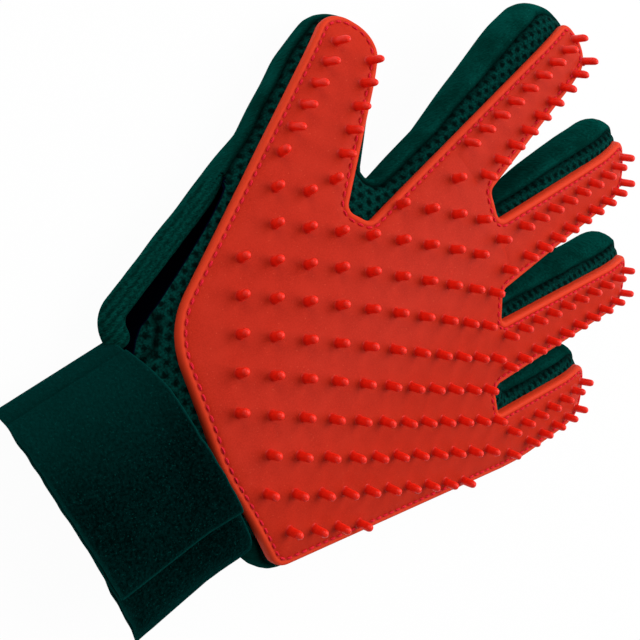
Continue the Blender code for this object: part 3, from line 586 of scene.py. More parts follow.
def frame_shift(joints):
    """What the part's frame adds to the worn pattern, read from the little finger's joint."""
    joint = next(joint for joint in joints if joint["child"] == LITTLE.name)
    height = PAD_TOP + KNUCKLE_LIFT
    ends = [worn(flat_point(on_finger(LITTLE, 0.0, side * LITTLE.pad_root), height))[0] for side in (-1, 1)]
    return np.array(joint["pos_m"]) - (ends[0] + ends[1]) / 2


def waves(points, size, seed):
    """Smooth noise between -1 and 1 at pattern points, with the given size of its lumps."""
    return np.array([noise.noise(Vector((p[0] / size, p[1] / size, seed))) for p in points])


# Meshes

def triangulated(loops, cuts, inner):
    """Points and triangles that fill the first loop, with every loop and cut as edges."""
    points, edges = [], []
    for loop in loops:
        first = len(points)
        points += [Vector(point) for point in loop]
        edges += [(first + step, first + (step + 1) % len(loop)) for step in range(len(loop))]
    for line in cuts:
        first = len(points)
        points += [Vector(point) for point in line]
        edges += [(first + step, first + step + 1) for step in range(len(line) - 1)]
    points += [Vector(point) for point in inner]
    result = geometry.delaunay_2d_cdt(points, edges, [], 1, WELD)
    flat = np.array([point[:] for point in result[0]])
    faces = np.array(result[2])
    return flat, faces[inside(flat[faces].mean(axis=1), loops[0])]


def grid_points(loop, depth):
    """Points of a triangular grid that lie deeper than `depth` inside the loop."""
    low = loop.min(axis=0)
    high = loop.max(axis=0)
    rows = []
    for row, y in enumerate(np.arange(low[1], high[1], GRID_STEP * sqrt(3.0) / 2)):
        x = np.arange(low[0] + (row % 2) * GRID_STEP / 2, high[0], GRID_STEP)
        rows.append(np.column_stack((x, np.full(len(x), y))))
    points = np.vstack(rows)
    points = points[inside(points, loop)]
    return points[depth_in(points, loop) > depth]


def finger_cuts():
    """Lines across the fingers where their pieces start."""
    lines = []
    for finger in FINGERS:
        lines.append([on_finger(finger, FINGER_CUT, finger.low_root - WELD),
                      on_finger(finger, FINGER_CUT, finger.high_root + WELD)])
    return lines


def owner_of(points):
    """Index of the finger that each pattern point belongs to, or -1 for the palm."""
    owner = np.full(len(points), -1)
    nearest = np.full(len(points), FINGER_SPAN_MARGIN)
    for index, finger in enumerate(FINGERS):
        along, across = from_finger(finger, points)
        share = np.clip(along / finger.length, 0.0, 1.0)
        low = finger.low_root + (finger.low_tip - finger.low_root) * share
        high = finger.high_root + (finger.high_tip - finger.high_root) * share
        offset = np.abs(across - (low + high) / 2) / ((high - low) / 2)
        mine = (along > FINGER_CUT) & (offset < nearest)
        owner[mine] = index
        nearest[mine] = offset[mine]
    return owner


def full_turn(sides):
    return np.arange(sides) * 2 * pi / sides


def placed(name, data):
    """New object that shows in the scene."""
    made = bpy.data.objects.new(name, data)
    bpy.context.scene.collection.objects.link(made)
    return made


def stretches():
    """Owner's index, name and finger of the palm and of each finger."""
    return [(-1, "palm", None)] + [(index, finger.name, finger) for index, finger in enumerate(FINGERS)]


class Shape:
    """Points on the pattern and faces with a finish each, gathered before they become a mesh."""

    def __init__(self):
        self.points = []
        self.faces = []
        self.marks = []
        self.count = 0

    def add(self, points, faces, finish=0, mark=0.0):
        self.points.append(points)
        self.marks.append(np.full(len(points), mark) if np.isscalar(mark) else mark)
        self.faces.append((np.asarray(faces) + self.count, finish))
        self.count += len(points)

    def build(self, name, finishes):
        points = np.vstack(self.points)
        marks = np.concatenate(self.marks)
        used = np.unique(np.concatenate([faces.ravel() for faces, _ in self.faces]))
        place = np.full(len(points), -1)
        place[used] = np.arange(len(used))
        faces = [row for block, _ in self.faces for row in place[block].tolist()]
        kinds = [finish for block, finish in self.faces for _ in block]
        flat = points[used]
        mesh = bpy.data.meshes.new(name)
        places = worn(drooped(flat)) + SHIFT
        places[:, 2] = np.maximum(places[:, 2], FLOOR_GAP)
        mesh.from_pydata(places.tolist(), [], faces)
        for finish in finishes:
            mesh.materials.append(finish)
        mesh.polygons.foreach_set("material_index", kinds)
        mesh.shade_smooth()
        corner = np.array([loop.vertex_index for loop in mesh.loops])
        layer = mesh.uv_layers.new(name="pattern")
        layer.data.foreach_set("uv", (flat[corner, :2] * UV_SCALE).ravel())
        mark = mesh.attributes.new("mark", "FLOAT", "POINT")
        mark.data.foreach_set("value", marks[used].astype(np.float32))
        mesh.validate()
        return placed(name, mesh)


def settle(piece, finger, kind):
    """Let a piece replace its solids, and move with the palm or keep its place on its finger."""
    owners = PALM_STRIPS if finger is None else (finger.name,)
    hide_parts(*[owner + kind for owner in owners])
    follow(piece, finger)


def follow(piece, finger):
    """Attach a palm piece to the palm; a finger's piece is baked where it stands, without a bend."""
    if finger is None:
        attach(piece, "palm")
        return
    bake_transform(piece)


def grid_faces(rows, columns, closed):
    """Quads of a grid of points in row order, closed along its columns or open."""
    last = columns if closed else columns - 1
    return [(row * columns + column, row * columns + (column + 1) % columns,
             (row + 1) * columns + (column + 1) % columns, (row + 1) * columns + column)
            for row in range(rows - 1) for column in range(last)]


# Rubber pad with its nubs

def nub_places():
    """Pattern places of the nubs: finger rows, then the palm's square grid where it is free."""
    outline = pad_outline()
    places = [on_finger(INDEX, -INDEX_NUB_BEFORE, INDEX_NUB_ROW)]
    for finger in FINGERS:
        last = finger.length - FINGER_NUB_TIP_MARGIN
        for start, row, slope in ((finger.thumb_start, finger.thumb_row, finger.thumb_slope),
                                  (finger.little_start, finger.little_row, finger.little_slope)):
            if finger is not INDEX:
                places.append(on_finger(finger, -FINGER_NUB_BEFORE, row))
            along = np.arange(start, last, finger.nub_pitch)
            per_metre = on_finger(finger, 1.0, slope) - (finger.x, finger.y)
            spots = on_finger(finger, 0.0, row) + np.outer(along, per_metre)
            kept = inside(spots, outline) & (depth_in(spots, outline) > FINGER_NUB_EDGE_MARGIN)
            places += list(spots[kept])
    column, across = heading(NUB_ROW_TILT)
    taken = np.array(places)
    for line in range(NUB_GRID_FIRST_ROW, NUB_GRID_LAST_ROW + 1):
        for step in range(NUB_GRID_COLUMNS):
            place = NUB_GRID_START + column * step * NUB_COLUMN_PITCH - across * line * NUB_PITCH
            spot = place[None, :]
            if (line, step) in NUB_GRID_BARE:
                continue
            if not inside(spot, outline)[0] or depth_in(spot, outline)[0] < NUB_EDGE_MARGIN:
                continue
            if np.linalg.norm(taken - place, axis=1).min() < NUB_SPACING_MIN:
                continue
            if any(past_knuckle(finger, spot) for finger in FINGERS):
                continue
            places.append(place)
    return np.array(places)


def past_knuckle(finger, spot):
    along, across = from_finger(finger, spot)
    return along[0] > -FINGER_NUB_BEFORE and abs(across[0]) < finger.high_root


def nub_lean(place, finger):
    """Sideways step of a nub per metre of its height: what its finger gives, and the tip's droop."""
    if finger is None:
        return np.zeros(2)
    direction, side = heading(finger.angle)
    along, _ = from_finger(finger, place)
    past = max(0.0, along - finger.length + DROOP_REACH) / DROOP_REACH
    slope = 2.0 * DROOP * past / DROOP_REACH
    return direction * (finger.lean_along + slope) + side * finger.lean_across


def nub(place, lean):
    """Points and faces of one nub."""
    turns = full_turn(NUB_SIDES)
    rings = []
    for radius, height in NUB_SECTION:
        centre = place + lean * height
        rings.append(np.column_stack((centre[0] + radius * np.cos(turns), centre[1] + radius * np.sin(turns),
                                      np.full(NUB_SIDES, PAD_TOP + height))))
    points = np.vstack(rings + [flat_point(place + lean * NUB_HEIGHT, PAD_TOP + NUB_HEIGHT)])
    faces = grid_faces(len(NUB_SECTION), NUB_SIDES, True)
    return points, faces


def nub_cap():
    first = (len(NUB_SECTION) - 1) * NUB_SIDES
    return [(first + side, first + (side + 1) % NUB_SIDES, first + NUB_SIDES) for side in range(NUB_SIDES)]


def pad_height(depth):
    return np.interp(depth, PAD_SECTION[:, 0], PAD_SECTION[:, 1])


def pad_pieces(finishes):
    outline = pad_outline()
    towards = inward(outline)
    loops = [outline + towards * depth for depth in PAD_SECTION[:, 0]]
    inner = grid_points(outline, PAD_SECTION[-1, 0] + GRID_STEP / 2)
    flat, faces = triangulated(loops, finger_cuts(), inner)
    depth = depth_in(flat, outline)
    points = np.column_stack((flat, pad_height(depth)))
    rim = 1.0 - smoothstep(RIM_WIDTH * RIM_FADE_START, RIM_WIDTH, depth)
    owner = owner_of(flat[faces].mean(axis=1))
    following = np.roll(outline, -1, axis=0)
    wall_owner = owner_of((outline + following) / 2)
    count = len(outline)
    edge = np.vstack((np.column_stack((outline, np.full(count, pad_height(0.0)))),
                      np.column_stack((outline, np.full(count, PAD_FOOT)))))
    wall = np.array([(step, count + step, count + (step + 1) % count, (step + 1) % count)
                     for step in range(count)])
    nubs = nub_places()
    nub_owner = owner_of(nubs)
    cap = nub_cap()
    threads = stitches(outline, towards)
    thread_owner = owner_of(np.array([middle for middle, _, _ in threads]))
    for index, name, finger in stretches():
        shape = Shape()
        shape.add(points, faces[owner == index], 0, rim)
        shape.add(edge, wall[wall_owner == index][:, ::-1], 0, 1.0)
        for place in nubs[nub_owner == index]:
            nub_points, sides = nub(place, nub_lean(place, finger))
            shape.add(nub_points, sides, 1, np.clip((nub_points[:, 2] - PAD_TOP) / NUB_HEIGHT, 0.0, 1.0))
            shape.faces.append((np.array(cap) + shape.count - len(nub_points), 1))
        settle(shape.build(name + "_pad_rubber", finishes[:2]), finger, "_pad")
        sewing = Shape()
        for (_, stitch_points, stitch_faces), mine in zip(threads, thread_owner == index):
            if mine:
                sewing.add(stitch_points, stitch_faces)
        thread = sewing.build(name + "_pad_thread", finishes[2:])
        follow(thread, finger)


def stitches(outline, towards):
    """Short threads along the pad's groove: middle, points and faces of each."""
    line = resampled(outline + towards * STITCH_INSET, STITCH_PITCH)
    turns = full_turn(STITCH_SIDES)
    threads = []
    for middle, side in zip(line, inward(line)):
        direction = np.array((side[1], -side[0]))
        points = []
        for step in range(STITCH_STATIONS):
            share = 2 * step / (STITCH_STATIONS - 1) - 1
            radius = STITCH_RADIUS * sqrt(max(STITCH_END_MIN, 1 - share ** 4))
            height = STITCH_HEIGHT + STITCH_ARCH * (1 - share * share)
            centre = middle + direction * share * STITCH_LENGTH / 2
            for turn in turns:
                place = centre + side * radius * cos(turn)
                points.append((place[0], place[1], height + radius * sin(turn)))
        threads.append((middle, np.array(points), grid_faces(STITCH_STATIONS, STITCH_SIDES, True)))
    return threads


# Fabric

def vent_frame():
    """Free velvet edge beside the thumb: its start, its direction and the way into the palm."""
    edge = on_finger(THUMB, 0.0, THUMB.high_root) - FABRIC_THUMB_CORNER
    edge = edge / np.linalg.norm(edge)
    return FABRIC_THUMB_CORNER, edge, np.array((edge[1], -edge[0]))


def slit_reach(along):
    """Distance of the slit's mesh side from the outer edge: less towards the thumb, more at the strap."""
    left = 1.0 - np.clip(along / SLIT_LENGTH, 0.0, 1.0)
    return HEM_INSET + SLIT_WIDTH * left ** SLIT_TAPER + SLIT_SPREAD * np.maximum(-along, 0.0)


def slit_line():
    start, edge, way_in = vent_frame()
    return [start + edge * along + way_in * slit_reach(along)
            for along in np.linspace(SLIT_START, SLIT_LENGTH, SLIT_STEPS)]


def in_slit(points):
    """True for the points of the mesh side that lie between the slit's edge and the hem."""
    start, edge, way_in = vent_frame()
    along = (points - start) @ edge
    across = (points - start) @ way_in
    return (along < SLIT_LENGTH) & (across < slit_reach(along)) & (points[:, 0] < THUMB.x)


def below_vent(points):
    """True for the points on the strap's side of the vent's corner, in the thumb's half."""
    start, edge, _ = vent_frame()
    return ((points - start) @ edge < VENT_CORNER) & (points[:, 1] > 0.0)


def flank(depth):
    """Half height of the fabric body at a distance from its edge."""
    share = 1.0 - np.minimum(depth, FLANK_DEPTH) / FLANK_DEPTH
    return BODY_DEPTH / 2 * np.sqrt(1.0 - share * share)


def fabric_pieces(finishes):
    outline = fabric_outline(MOUTH)
    towards = inward(outline)
    seam = seam_outline(outline)
    loops = [outline + towards * step for step in FABRIC_LOOPS]
    cuts = finger_cuts() + [slit_line()]
    flat, faces = triangulated(loops + [seam], cuts, grid_points(outline, FABRIC_LOOPS[-1] + GRID_STEP / 2))
    depth = depth_in(flat, fabric_outline(OPEN_MOUTH))
    at_edge = (depth_in(flat, outline) < WELD) & (depth < EDGE_SNAP)
    depth[at_edge] = 0.0
    lumps = sum(height * waves(flat, size, seed) for size, height, seed in FABRIC_LUMPS)
    lumps *= smoothstep(*LUMPS_GROW, depth) * (1.0 - smoothstep(*LUMPS_FADE, depth))
    from_seam = depth_in(flat, seam)
    share = np.where(inside(flat, seam), 1.0, depth / np.maximum(depth + from_seam, WELD))
    puff = VELVET_PUFF * np.sin(pi * np.clip(share, 0.0, 1.0))
    groove = SEAM_GROOVE * np.exp(-(from_seam / SEAM_GROOVE_WIDTH) ** 2)
    top = np.minimum(-BODY_DEPTH / 2 + flank(depth) + lumps, 0.0) + puff - groove
    pad = pad_outline()
    pressed = np.where(inside(flat, pad), depth_in(flat, pad), 0.0)
    top -= PAD_PRESS * smoothstep(0.0, PAD_PRESS_WIDTH, pressed)
    bottom = -BODY_DEPTH / 2 - flank(depth)
    centre = flat[faces].mean(axis=1)
    owner = owner_of(centre)
    at_corner = below_vent(centre)
    velvet_side = ~inside(centre, seam) & ~at_corner
    open_slit = in_slit(centre) & (owner == -1)
    under_hem = open_slit & (depth_in(centre, fabric_outline(OPEN_MOUTH)) > HEM_INSET)
    # Painted shade: the cloth darkens in the crease along the seam
    crease_shade = np.exp(-(from_seam / CREASE_SHADE_WIDTH) ** 2)
    upper = np.column_stack((flat, top))
    lower = np.column_stack((flat, bottom))
    for index, name, finger in stretches():
        mine = owner == index
        mesh_side = Shape()
        mesh_side.add(upper, faces[mine & ~velvet_side & ~open_slit], 0, crease_shade)
        settle(mesh_side.build(name + "_mesh_panel", finishes[:1]), finger, "_mesh")
        velvet = Shape()
        velvet.add(upper, faces[mine & velvet_side & ~under_hem], 0, crease_shade)
        velvet.add(lower, faces[mine][:, ::-1])
        settle(velvet.build(name + "_velvet", finishes[1:2]), finger, "_back")
    # Dark lining sheets inside the palm: painted shade of the hollow seen through the slit
    lining = Shape()
    inner = depth > SHADE_LINING_GAP
    kept = (owner == -1) & inner[faces].all(axis=1)
    lining.add(upper - np.array((0.0, 0.0, SHADE_LINING_GAP)), faces[kept & ~open_slit][:, ::-1])
    lining.add(lower + np.array((0.0, 0.0, SHADE_LINING_GAP)), faces[kept])
    piece = lining.build("palm_lining", finishes[2:])
    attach(piece, "palm")


def hem_path():
    """Middle line of the hem: along the free velvet edge, turning in where it meets the strap."""
    start, edge, way_in = vent_frame()
    turns = np.linspace(HEM_TURN, 0.0, HEM_TURN_STEPS, endpoint=False)
    along = np.concatenate((HEM_START - HEM_TURN_RADIUS * np.sin(turns), (HEM_START, HEM_LENGTH)))
    across = np.concatenate((HEM_TURN_RADIUS * (1.0 - np.cos(turns)), (0.0, 0.0))) + HEM_INSET
    line = start + np.outer(along, edge) + np.outer(across, way_in)
    tail = line[0] + HEM_TAIL * (way_in * sin(HEM_TURN) - edge * cos(HEM_TURN))
    line = np.vstack((tail, line))
    marks = run_lengths(line)
    return along_line(line, marks, np.linspace(0.0, marks[-1], HEM_STEPS + 1))


def hem(finish):
    """Rolled velvet edge beside the slit, round at the strap end and tapering off at the thumb."""
    path = hem_path()
    run = np.gradient(path, axis=0)
    run = run / np.linalg.norm(run, axis=1, keepdims=True)
    turns = full_turn(HEM_SIDES)
    rings = []
    for step, (centre, direction) in enumerate(zip(path, run)):
        share = step / HEM_STEPS
        size = sqrt(max(0.0, 1.0 - (1.0 - min(1.0, share / HEM_ROUND_SHARE)) ** 2))
        size *= 1.0 - HEM_TAPER * float(smoothstep(HEM_TAPER_START, 1.0, share))
        foot = HEM_FOOT * float(1.0 - smoothstep(0.0, HEM_FOOT_SHARE, share))
        size *= 1.0 + foot
        lump = 1.0 + HEM_LUMPS * noise.noise(Vector((centre[0] / HEM_LUMP_SIZE, 0.0, HEM_LUMP_SEED)))
        way_in = np.array((direction[1], -direction[0]))
        for turn in turns:
            place = centre + way_in * HEM_HALF_WIDTH * (cos(turn) * size * lump + foot)
            rings.append((place[0], place[1], HEM_HEIGHT + sin(turn) * HEM_HALF_HEIGHT * size))
    shape = Shape()
    shape.add(np.array(rings), np.array(grid_faces(HEM_STEPS + 1, HEM_SIDES, True))[:, ::-1])
    piece = shape.build("vent_hem", [finish])
    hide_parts("vent_binding")
    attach(piece, "palm")


# Strap

def ring_section():
    """Wrist section at the band's inside: (across, height) points and their outward directions."""
    low = -WRIST_LITTLE_SIDE - BAND_CLEARANCE
    high = WRIST_THUMB_SIDE + BAND_CLEARANCE
    floor = -BODY_DEPTH - BAND_CLEARANCE
    radius = WRIST_EDGE_RADIUS + BAND_CLEARANCE
    corners = [np.array((low, floor)), np.array((high, floor)),
               np.array((high, BAND_CLEARANCE)), np.array((low, BAND_CLEARANCE))]
    ring = resampled(rounded([(corner, radius) for corner in corners]), RING_STEP)
    return ring, -inward(ring)


def strap_profile(low, high):
    """Closed section across the strap's width, between two heights, with soft edges: along and height."""
    half = STRAP_WIDTH / 2
    middle = (low + high) / 2
    soft = (high - low) / 2
    turns = np.linspace(pi / 2, -pi / 2, STRAP_EDGE_STEPS)
    right = [(half - soft + soft * cos(turn), middle + soft * sin(turn)) for turn in turns]
    left = [(-along, height) for along, height in right[::-1]]
    inner = np.arange(half - soft - ALONG_STEP, -half + soft + ALONG_STEP / 2, -ALONG_STEP)
    bottom = [(along, low) for along in inner]
    top = [(along, high) for along in inner[::-1]]
    return np.array(right + bottom + left + top)


def wrist_points(across, along, height):
    """Pattern points from arrays in the strap's own frame, with the wavy pile of its surface."""
    direction, side = heading(WRIST_ANGLE)
    spots = np.column_stack((across, along))
    at_mouth = smoothstep(0.0, STRAP_WIDTH / 2, -along) * smoothstep(-BODY_DEPTH, 0.0, height)
    wave = EDGE_WAVE * waves(spots, EDGE_WAVE_SIZE, EDGE_WAVE_SEED)
    along = along + wave * np.abs(along) / (STRAP_WIDTH / 2)
    at_corner = smoothstep(0.0, STRAP_WIDTH / 2, along) * smoothstep(CORNER_START, WRIST_THUMB_SIDE, across)
    along = along - MOUTH_OVERHANG * at_mouth - CORNER_CUT * at_corner
    height = height + FLEECE_LUMPS * waves(spots, FLEECE_LUMP_SIZE, FLEECE_LUMP_SEED)
    place = WRIST_CENTRE + np.outer(along, direction) + np.outer(across, side)
    return np.column_stack((place, height))


def edge_and_painted_light_mark(along, across):
    """Share of the light colour on the strap: its cut edges, partly their own colour and partly painted
    sheen, and painted light towards the thumb side.
    """
    edge = EDGE_COLOUR_AND_PAINTED_SHEEN * smoothstep(STRAP_WIDTH / 2 - EDGE_COLOUR_AND_PAINTED_SHEEN_WIDTH, STRAP_WIDTH / 2, np.abs(along))
    return np.maximum(edge, THUMB_SIDE_PAINTED_LIGHT * smoothstep(0.0, WRIST_THUMB_SIDE, across))


def strap_pieces(finishes):
    ring, outward = ring_section()
    profile = strap_profile(0.0, BAND_THICKNESS)
    rows = []
    for point, way in zip(ring, outward):
        rows.append(place_row(point + np.outer(profile[:, 1], way), profile[:, 0]))
    rows.append(rows[0])
    faces = np.array(grid_faces(len(rows), len(profile), True))
    # The band's inner faces take the dark lining: painted shade under the band
    shade_lined = (profile[faces[:, :2] % len(profile), 1] < WELD).all(axis=1)
    marks = np.concatenate([edge_and_painted_light_mark(profile[:, 0], point[0]) for point in np.vstack((ring, ring[:1]))])
    band = Shape()
    band.add(np.vstack(rows), faces[~shade_lined], 0, marks)
    band.faces.append((faces[shade_lined], 1))
    piece = band.build("wrist_band_pile", [finishes[0], finishes[2]])
    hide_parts("wrist_band")
    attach(piece, "palm")

    end = -WRIST_LITTLE_SIDE - BAND_CLEARANCE - BAND_THICKNESS + FLAP_END_SETBACK
    chosen = [index for index, point in enumerate(ring)
              if point[1] > -BODY_DEPTH / 2 and end < point[0] < FLAP_ROOT]
    chosen.sort(key=lambda index: -ring[index][0])
    rows, marks = [], []
    for index in chosen:
        point, way = ring[index], outward[index]
        from_root = FLAP_ROOT - point[0]
        from_end = point[0] - end
        rise = smoothstep(*FLAP_RISE_FROM_ROOT, from_root) * smoothstep(*FLAP_RISE_FROM_END, from_end)
        low = BAND_THICKNESS + FLAP_REST_GAP + FLAP_HOOK_LIFT * rise
        at_root = sqrt(min(1.0, from_root / FLAP_ROOT_TAPER))
        at_end = sqrt(min(1.0, (from_end + FLAP_END_LEFT) / FLAP_END_TAPER))
        thick = max(FLAP_THICKNESS * at_root * at_end, FLAP_THICKNESS_MIN)
        section = strap_profile(low, low + thick)
        row = place_row(point + np.outer(section[:, 1], way), section[:, 0])
        even = np.linspace(0, len(row) - 1, len(profile)).astype(int)
        rows.append(row[even])
        marks.append(np.maximum(edge_and_painted_light_mark(section[even, 0], point[0]), EDGE_COLOUR_AND_PAINTED_SHEEN * (from_end < RING_STEP)))
    flap = Shape()
    flap.add(np.vstack(rows), np.array(grid_faces(len(rows), len(profile), True)), 0, np.concatenate(marks))
    piece = flap.build("strap_flap_pile", finishes[:1])
    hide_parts("strap_flap")
    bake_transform(piece)
    hook_tape(end, finishes[1])


def place_row(place, along):
    return wrist_points(place[:, 0], along, place[:, 1])


def hook_tape(end, finish):
    """Tape with rows of small hooks under the flap's end."""
    base = BAND_CLEARANCE + BAND_THICKNESS
    half = STRAP_WIDTH / 2 - HOOK_MARGIN
    near = end + HOOK_MARGIN
    _, side = heading(WRIST_ANGLE)
    corners = [on_wrist(-half, near), on_wrist(half, near), on_wrist(half, near + HOOK_LENGTH),
               on_wrist(-half, near + HOOK_LENGTH)]
    heights = (base + HOOK_TAPE_LOW, base + HOOK_TAPE_HIGH)
    points = np.array([(corner[0], corner[1], height) for height in heights for corner in corners])
    faces = [(0, 1, 2, 3), (7, 6, 5, 4), (0, 4, 5, 1), (1, 5, 6, 2), (2, 6, 7, 3), (3, 7, 4, 0)]
    tape = Shape()
    tape.add(points, faces)
    turns = full_turn(HOOK_SIDES)
    hook = [(step, (step + 1) % HOOK_SIDES, HOOK_SIDES) for step in range(HOOK_SIDES)]
    for across in np.arange(near + HOOK_PITCH, near + HOOK_LENGTH - HOOK_PITCH / 2, HOOK_PITCH):
        for along in np.arange(-half + HOOK_PITCH, half - HOOK_PITCH / 2, HOOK_PITCH):
            place = on_wrist(along, across)
            foot = [(place[0] + HOOK_RADIUS * cos(turn), place[1] + HOOK_RADIUS * sin(turn),
                     base + HOOK_TAPE_LOW) for turn in turns]
            tip = place + side * HOOK_RADIUS
            foot.append((tip[0], tip[1], base + HOOK_TAPE_LOW - HOOK_REACH))
            tape.add(np.array(foot), hook)
    piece = tape.build("strap_hook_tape", [finish])
    piece.data.shade_flat()
    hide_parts("strap_hook")
    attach(piece, "strap")


# Finishes

class Nodes:
    """Small helper that adds and links the nodes of one material."""

    def __init__(self, name, colour, roughness, gloss=0.1):
        self.finish = bpy.data.materials.new(name)
        self.finish.use_nodes = True
        self.tree = self.finish.node_tree
        self.shader = self.tree.nodes["Principled BSDF"]
        self.shader.inputs["Base Color"].default_value = (*colour, 1.0)
        self.shader.inputs["Roughness"].default_value = roughness
        self.shader.inputs["Specular IOR Level"].default_value = gloss

    def node(self, kind, values=(), **settings):
        made = self.tree.nodes.new(kind)
        for key, value in settings.items():
            setattr(made, key, value)
        for key, value in dict(values).items():
            if isinstance(value, bpy.types.NodeSocket):
                self.tree.links.new(value, made.inputs[key])
            else:
                made.inputs[key].default_value = value
        return made

    def mark(self):
        """The share that each point of a shape carries."""
        return self.node("ShaderNodeAttribute", attribute_name="mark").outputs["Fac"]

    def place(self):
        """Place in the piece's own space."""
        return self.node("ShaderNodeTexCoord").outputs["Object"]

    def pattern(self, scale=(1.0, 1.0, 1.0), turn=0.0):
        """Place on the flat pattern, turned and scaled."""
        uv = self.node("ShaderNodeUVMap", uv_map="pattern")
        values = {"Vector": uv.outputs[0], "Rotation": (0.0, 0.0, -turn), "Scale": scale}
        return self.node("ShaderNodeMapping", values).outputs[0]

    def vector(self, operation, *values, output=0):
        made = self.node("ShaderNodeVectorMath", dict(enumerate(values)), operation=operation)
        return made.outputs[output]

    def math(self, operation, first, second):
        return self.node("ShaderNodeMath", {0: first, 1: second}, operation=operation).outputs[0]

    def speckle(self, scale, detail, where=None):
        where = self.place() if where is None else where
        values = {"Scale": scale, "Detail": detail, "Vector": where}
        return self.node("ShaderNodeTexNoise", values).outputs["Fac"]

    def ramp(self, value, low, high, out_low=0.0, out_high=1.0):
        return self.node("ShaderNodeMapRange", {"Value": value, "From Min": low, "From Max": high,
                                                "To Min": out_low, "To Max": out_high}).outputs[0]

    def mix(self, share, first, second):
        ends = [end if isinstance(end, bpy.types.NodeSocket) else (*end, 1.0) for end in (first, second)]
        return self.node("ShaderNodeMix", {0: share, 6: ends[0], 7: ends[1]}, data_type="RGBA").outputs[2]

    def colour(self, socket):
        self.tree.links.new(socket, self.shader.inputs["Base Color"])

    def sheen(self, weight, tint):
        self.shader.inputs["Sheen Weight"].default_value = weight
        self.shader.inputs["Sheen Roughness"].default_value = SHEEN_ROUGHNESS
        self.shader.inputs["Sheen Tint"].default_value = (*tint, 1.0)

    def bump(self, height, strength, distance):
        made = self.node("ShaderNodeBump", {"Height": height, "Strength": strength, "Distance": distance})
        self.tree.links.new(made.outputs[0], self.shader.inputs["Normal"])

    def crease_shaded(self, cloth):
        """Colour of a cloth that is dark with painted shade in the crease beside its seam, where the mark
        is.
        """
        return self.mix(self.ramp(self.mark(), 0.0, 1.0, 0.0, CREASE_SHADE_SHARE), cloth, CREASE_SHADE_COLOUR)


def rubber():
    """Satin red with a fine mottle and a few light specks; the mark is the smooth orange rim."""
    nodes = Nodes("rubber", RUBBER_COLOUR, roughness=0.50, gloss=0.05)
    grain = nodes.speckle(RUBBER_GRAIN, detail=2.0)
    cloud = nodes.speckle(RUBBER_CLOUDS, detail=3.0)
    specks = nodes.ramp(nodes.speckle(RUBBER_SPECKS, detail=1.0), 0.70, 0.76, 0.0, 0.35)
    fine = nodes.mix(nodes.ramp(grain, 0.35, 0.65), *RUBBER_GRAIN_COLOURS)
    mottled = nodes.mix(nodes.ramp(cloud, 0.40, 0.70, 0.0, 0.5), fine, RUBBER_CLOUD_COLOUR)
    speckled = nodes.mix(specks, mottled, RUBBER_SPECK_COLOUR)
    nodes.colour(nodes.mix(nodes.mark(), speckled, RUBBER_RIM_COLOUR))
    nodes.bump(grain, strength=0.10, distance=0.0002)
    return nodes.finish


def nub_rubber():
    """Bright red, darker at the root with painted shade where the nub meets the pad; the mark is the share
    of the nub's height.
    """
    nodes = Nodes("nub_rubber", NUB_COLOUR, roughness=0.36, gloss=0.25)
    grain = nodes.speckle(NUB_GRAIN, detail=2.0)
    body = nodes.mix(nodes.ramp(grain, 0.35, 0.65), *NUB_GRAIN_COLOURS)
    nodes.colour(nodes.mix(nodes.ramp(nodes.mark(), 0.02, 0.36), NUB_ROOT_SHADE_COLOUR, body))
    return nodes.finish


def thread():
    """Crimson yarn with the stripes of its twist."""
    nodes = Nodes("thread", THREAD_COLOUR, roughness=0.8, gloss=0.05)
    values = {"Vector": nodes.place(), "Scale": THREAD_TWIST, "Distortion": 2.0}
    twist = nodes.node("ShaderNodeTexWave", values).outputs["Fac"]
    nodes.colour(nodes.mix(twist, *THREAD_TWIST_COLOURS))
    nodes.bump(twist, strength=0.4, distance=0.0002)
    return nodes.finish


def air_mesh():
    """Knitted honeycomb: rows of dark holes, each row set off by half a pitch."""
    nodes = Nodes("air_mesh", MESH_COLOUR, roughness=0.95, gloss=0.01)
    pitch = MESH_PITCH * UV_SCALE
    where = nodes.pattern((1 / pitch, 1 / (pitch * sqrt(3.0)), 1.0))
    gaps = []
    for shift in (0.0, 0.5):
        moved = nodes.vector("ADD", where, (shift, shift, 0.0))
        offset = nodes.vector("SUBTRACT", nodes.vector("FRACTION", moved), (0.5, 0.5, 0.0))
        scaled = nodes.vector("MULTIPLY", offset, (1.0, sqrt(3.0), 0.0))
        gaps.append(nodes.vector("LENGTH", scaled, output="Value"))
    grain = nodes.speckle(MESH_GRAIN, detail=2.0)
    rough_edge = nodes.math("ADD", nodes.math("MINIMUM", *gaps), nodes.ramp(grain, 0.3, 0.7, -0.08, 0.08))
    cloth = nodes.ramp(rough_edge, 0.14, 0.40)
    yarn = nodes.mix(nodes.ramp(grain, 0.35, 0.7), *MESH_YARN_COLOURS)
    nodes.colour(nodes.crease_shaded(nodes.mix(cloth, MESH_HOLE_COLOUR, yarn)))
    nodes.bump(cloth, strength=0.6, distance=0.0004)
    return nodes.finish


def velvet(name, dark, light):
    """Short pile with streaks where it was stroked, and bits of lint."""
    nodes = Nodes(name, dark, roughness=1.0, gloss=0.0)
    streak = nodes.speckle(1.0, 3.0, where=nodes.pattern(VELVET_STREAKS))
    share = nodes.math("MULTIPLY", streak, nodes.speckle(VELVET_CLOUDS, detail=2.0))
    cloth = nodes.mix(nodes.ramp(share, 0.16, 0.36), dark, light)
    lint = nodes.ramp(nodes.speckle(VELVET_LINT, detail=1.0), 0.72, 0.78, 0.0, 0.5)
    nodes.colour(nodes.crease_shaded(nodes.mix(lint, cloth, VELVET_LINT_COLOUR)))
    nodes.sheen(0.16, tint=VELVET_SHEEN_COLOUR)
    nodes.bump(streak, strength=0.5, distance=0.0006)
    return nodes.finish


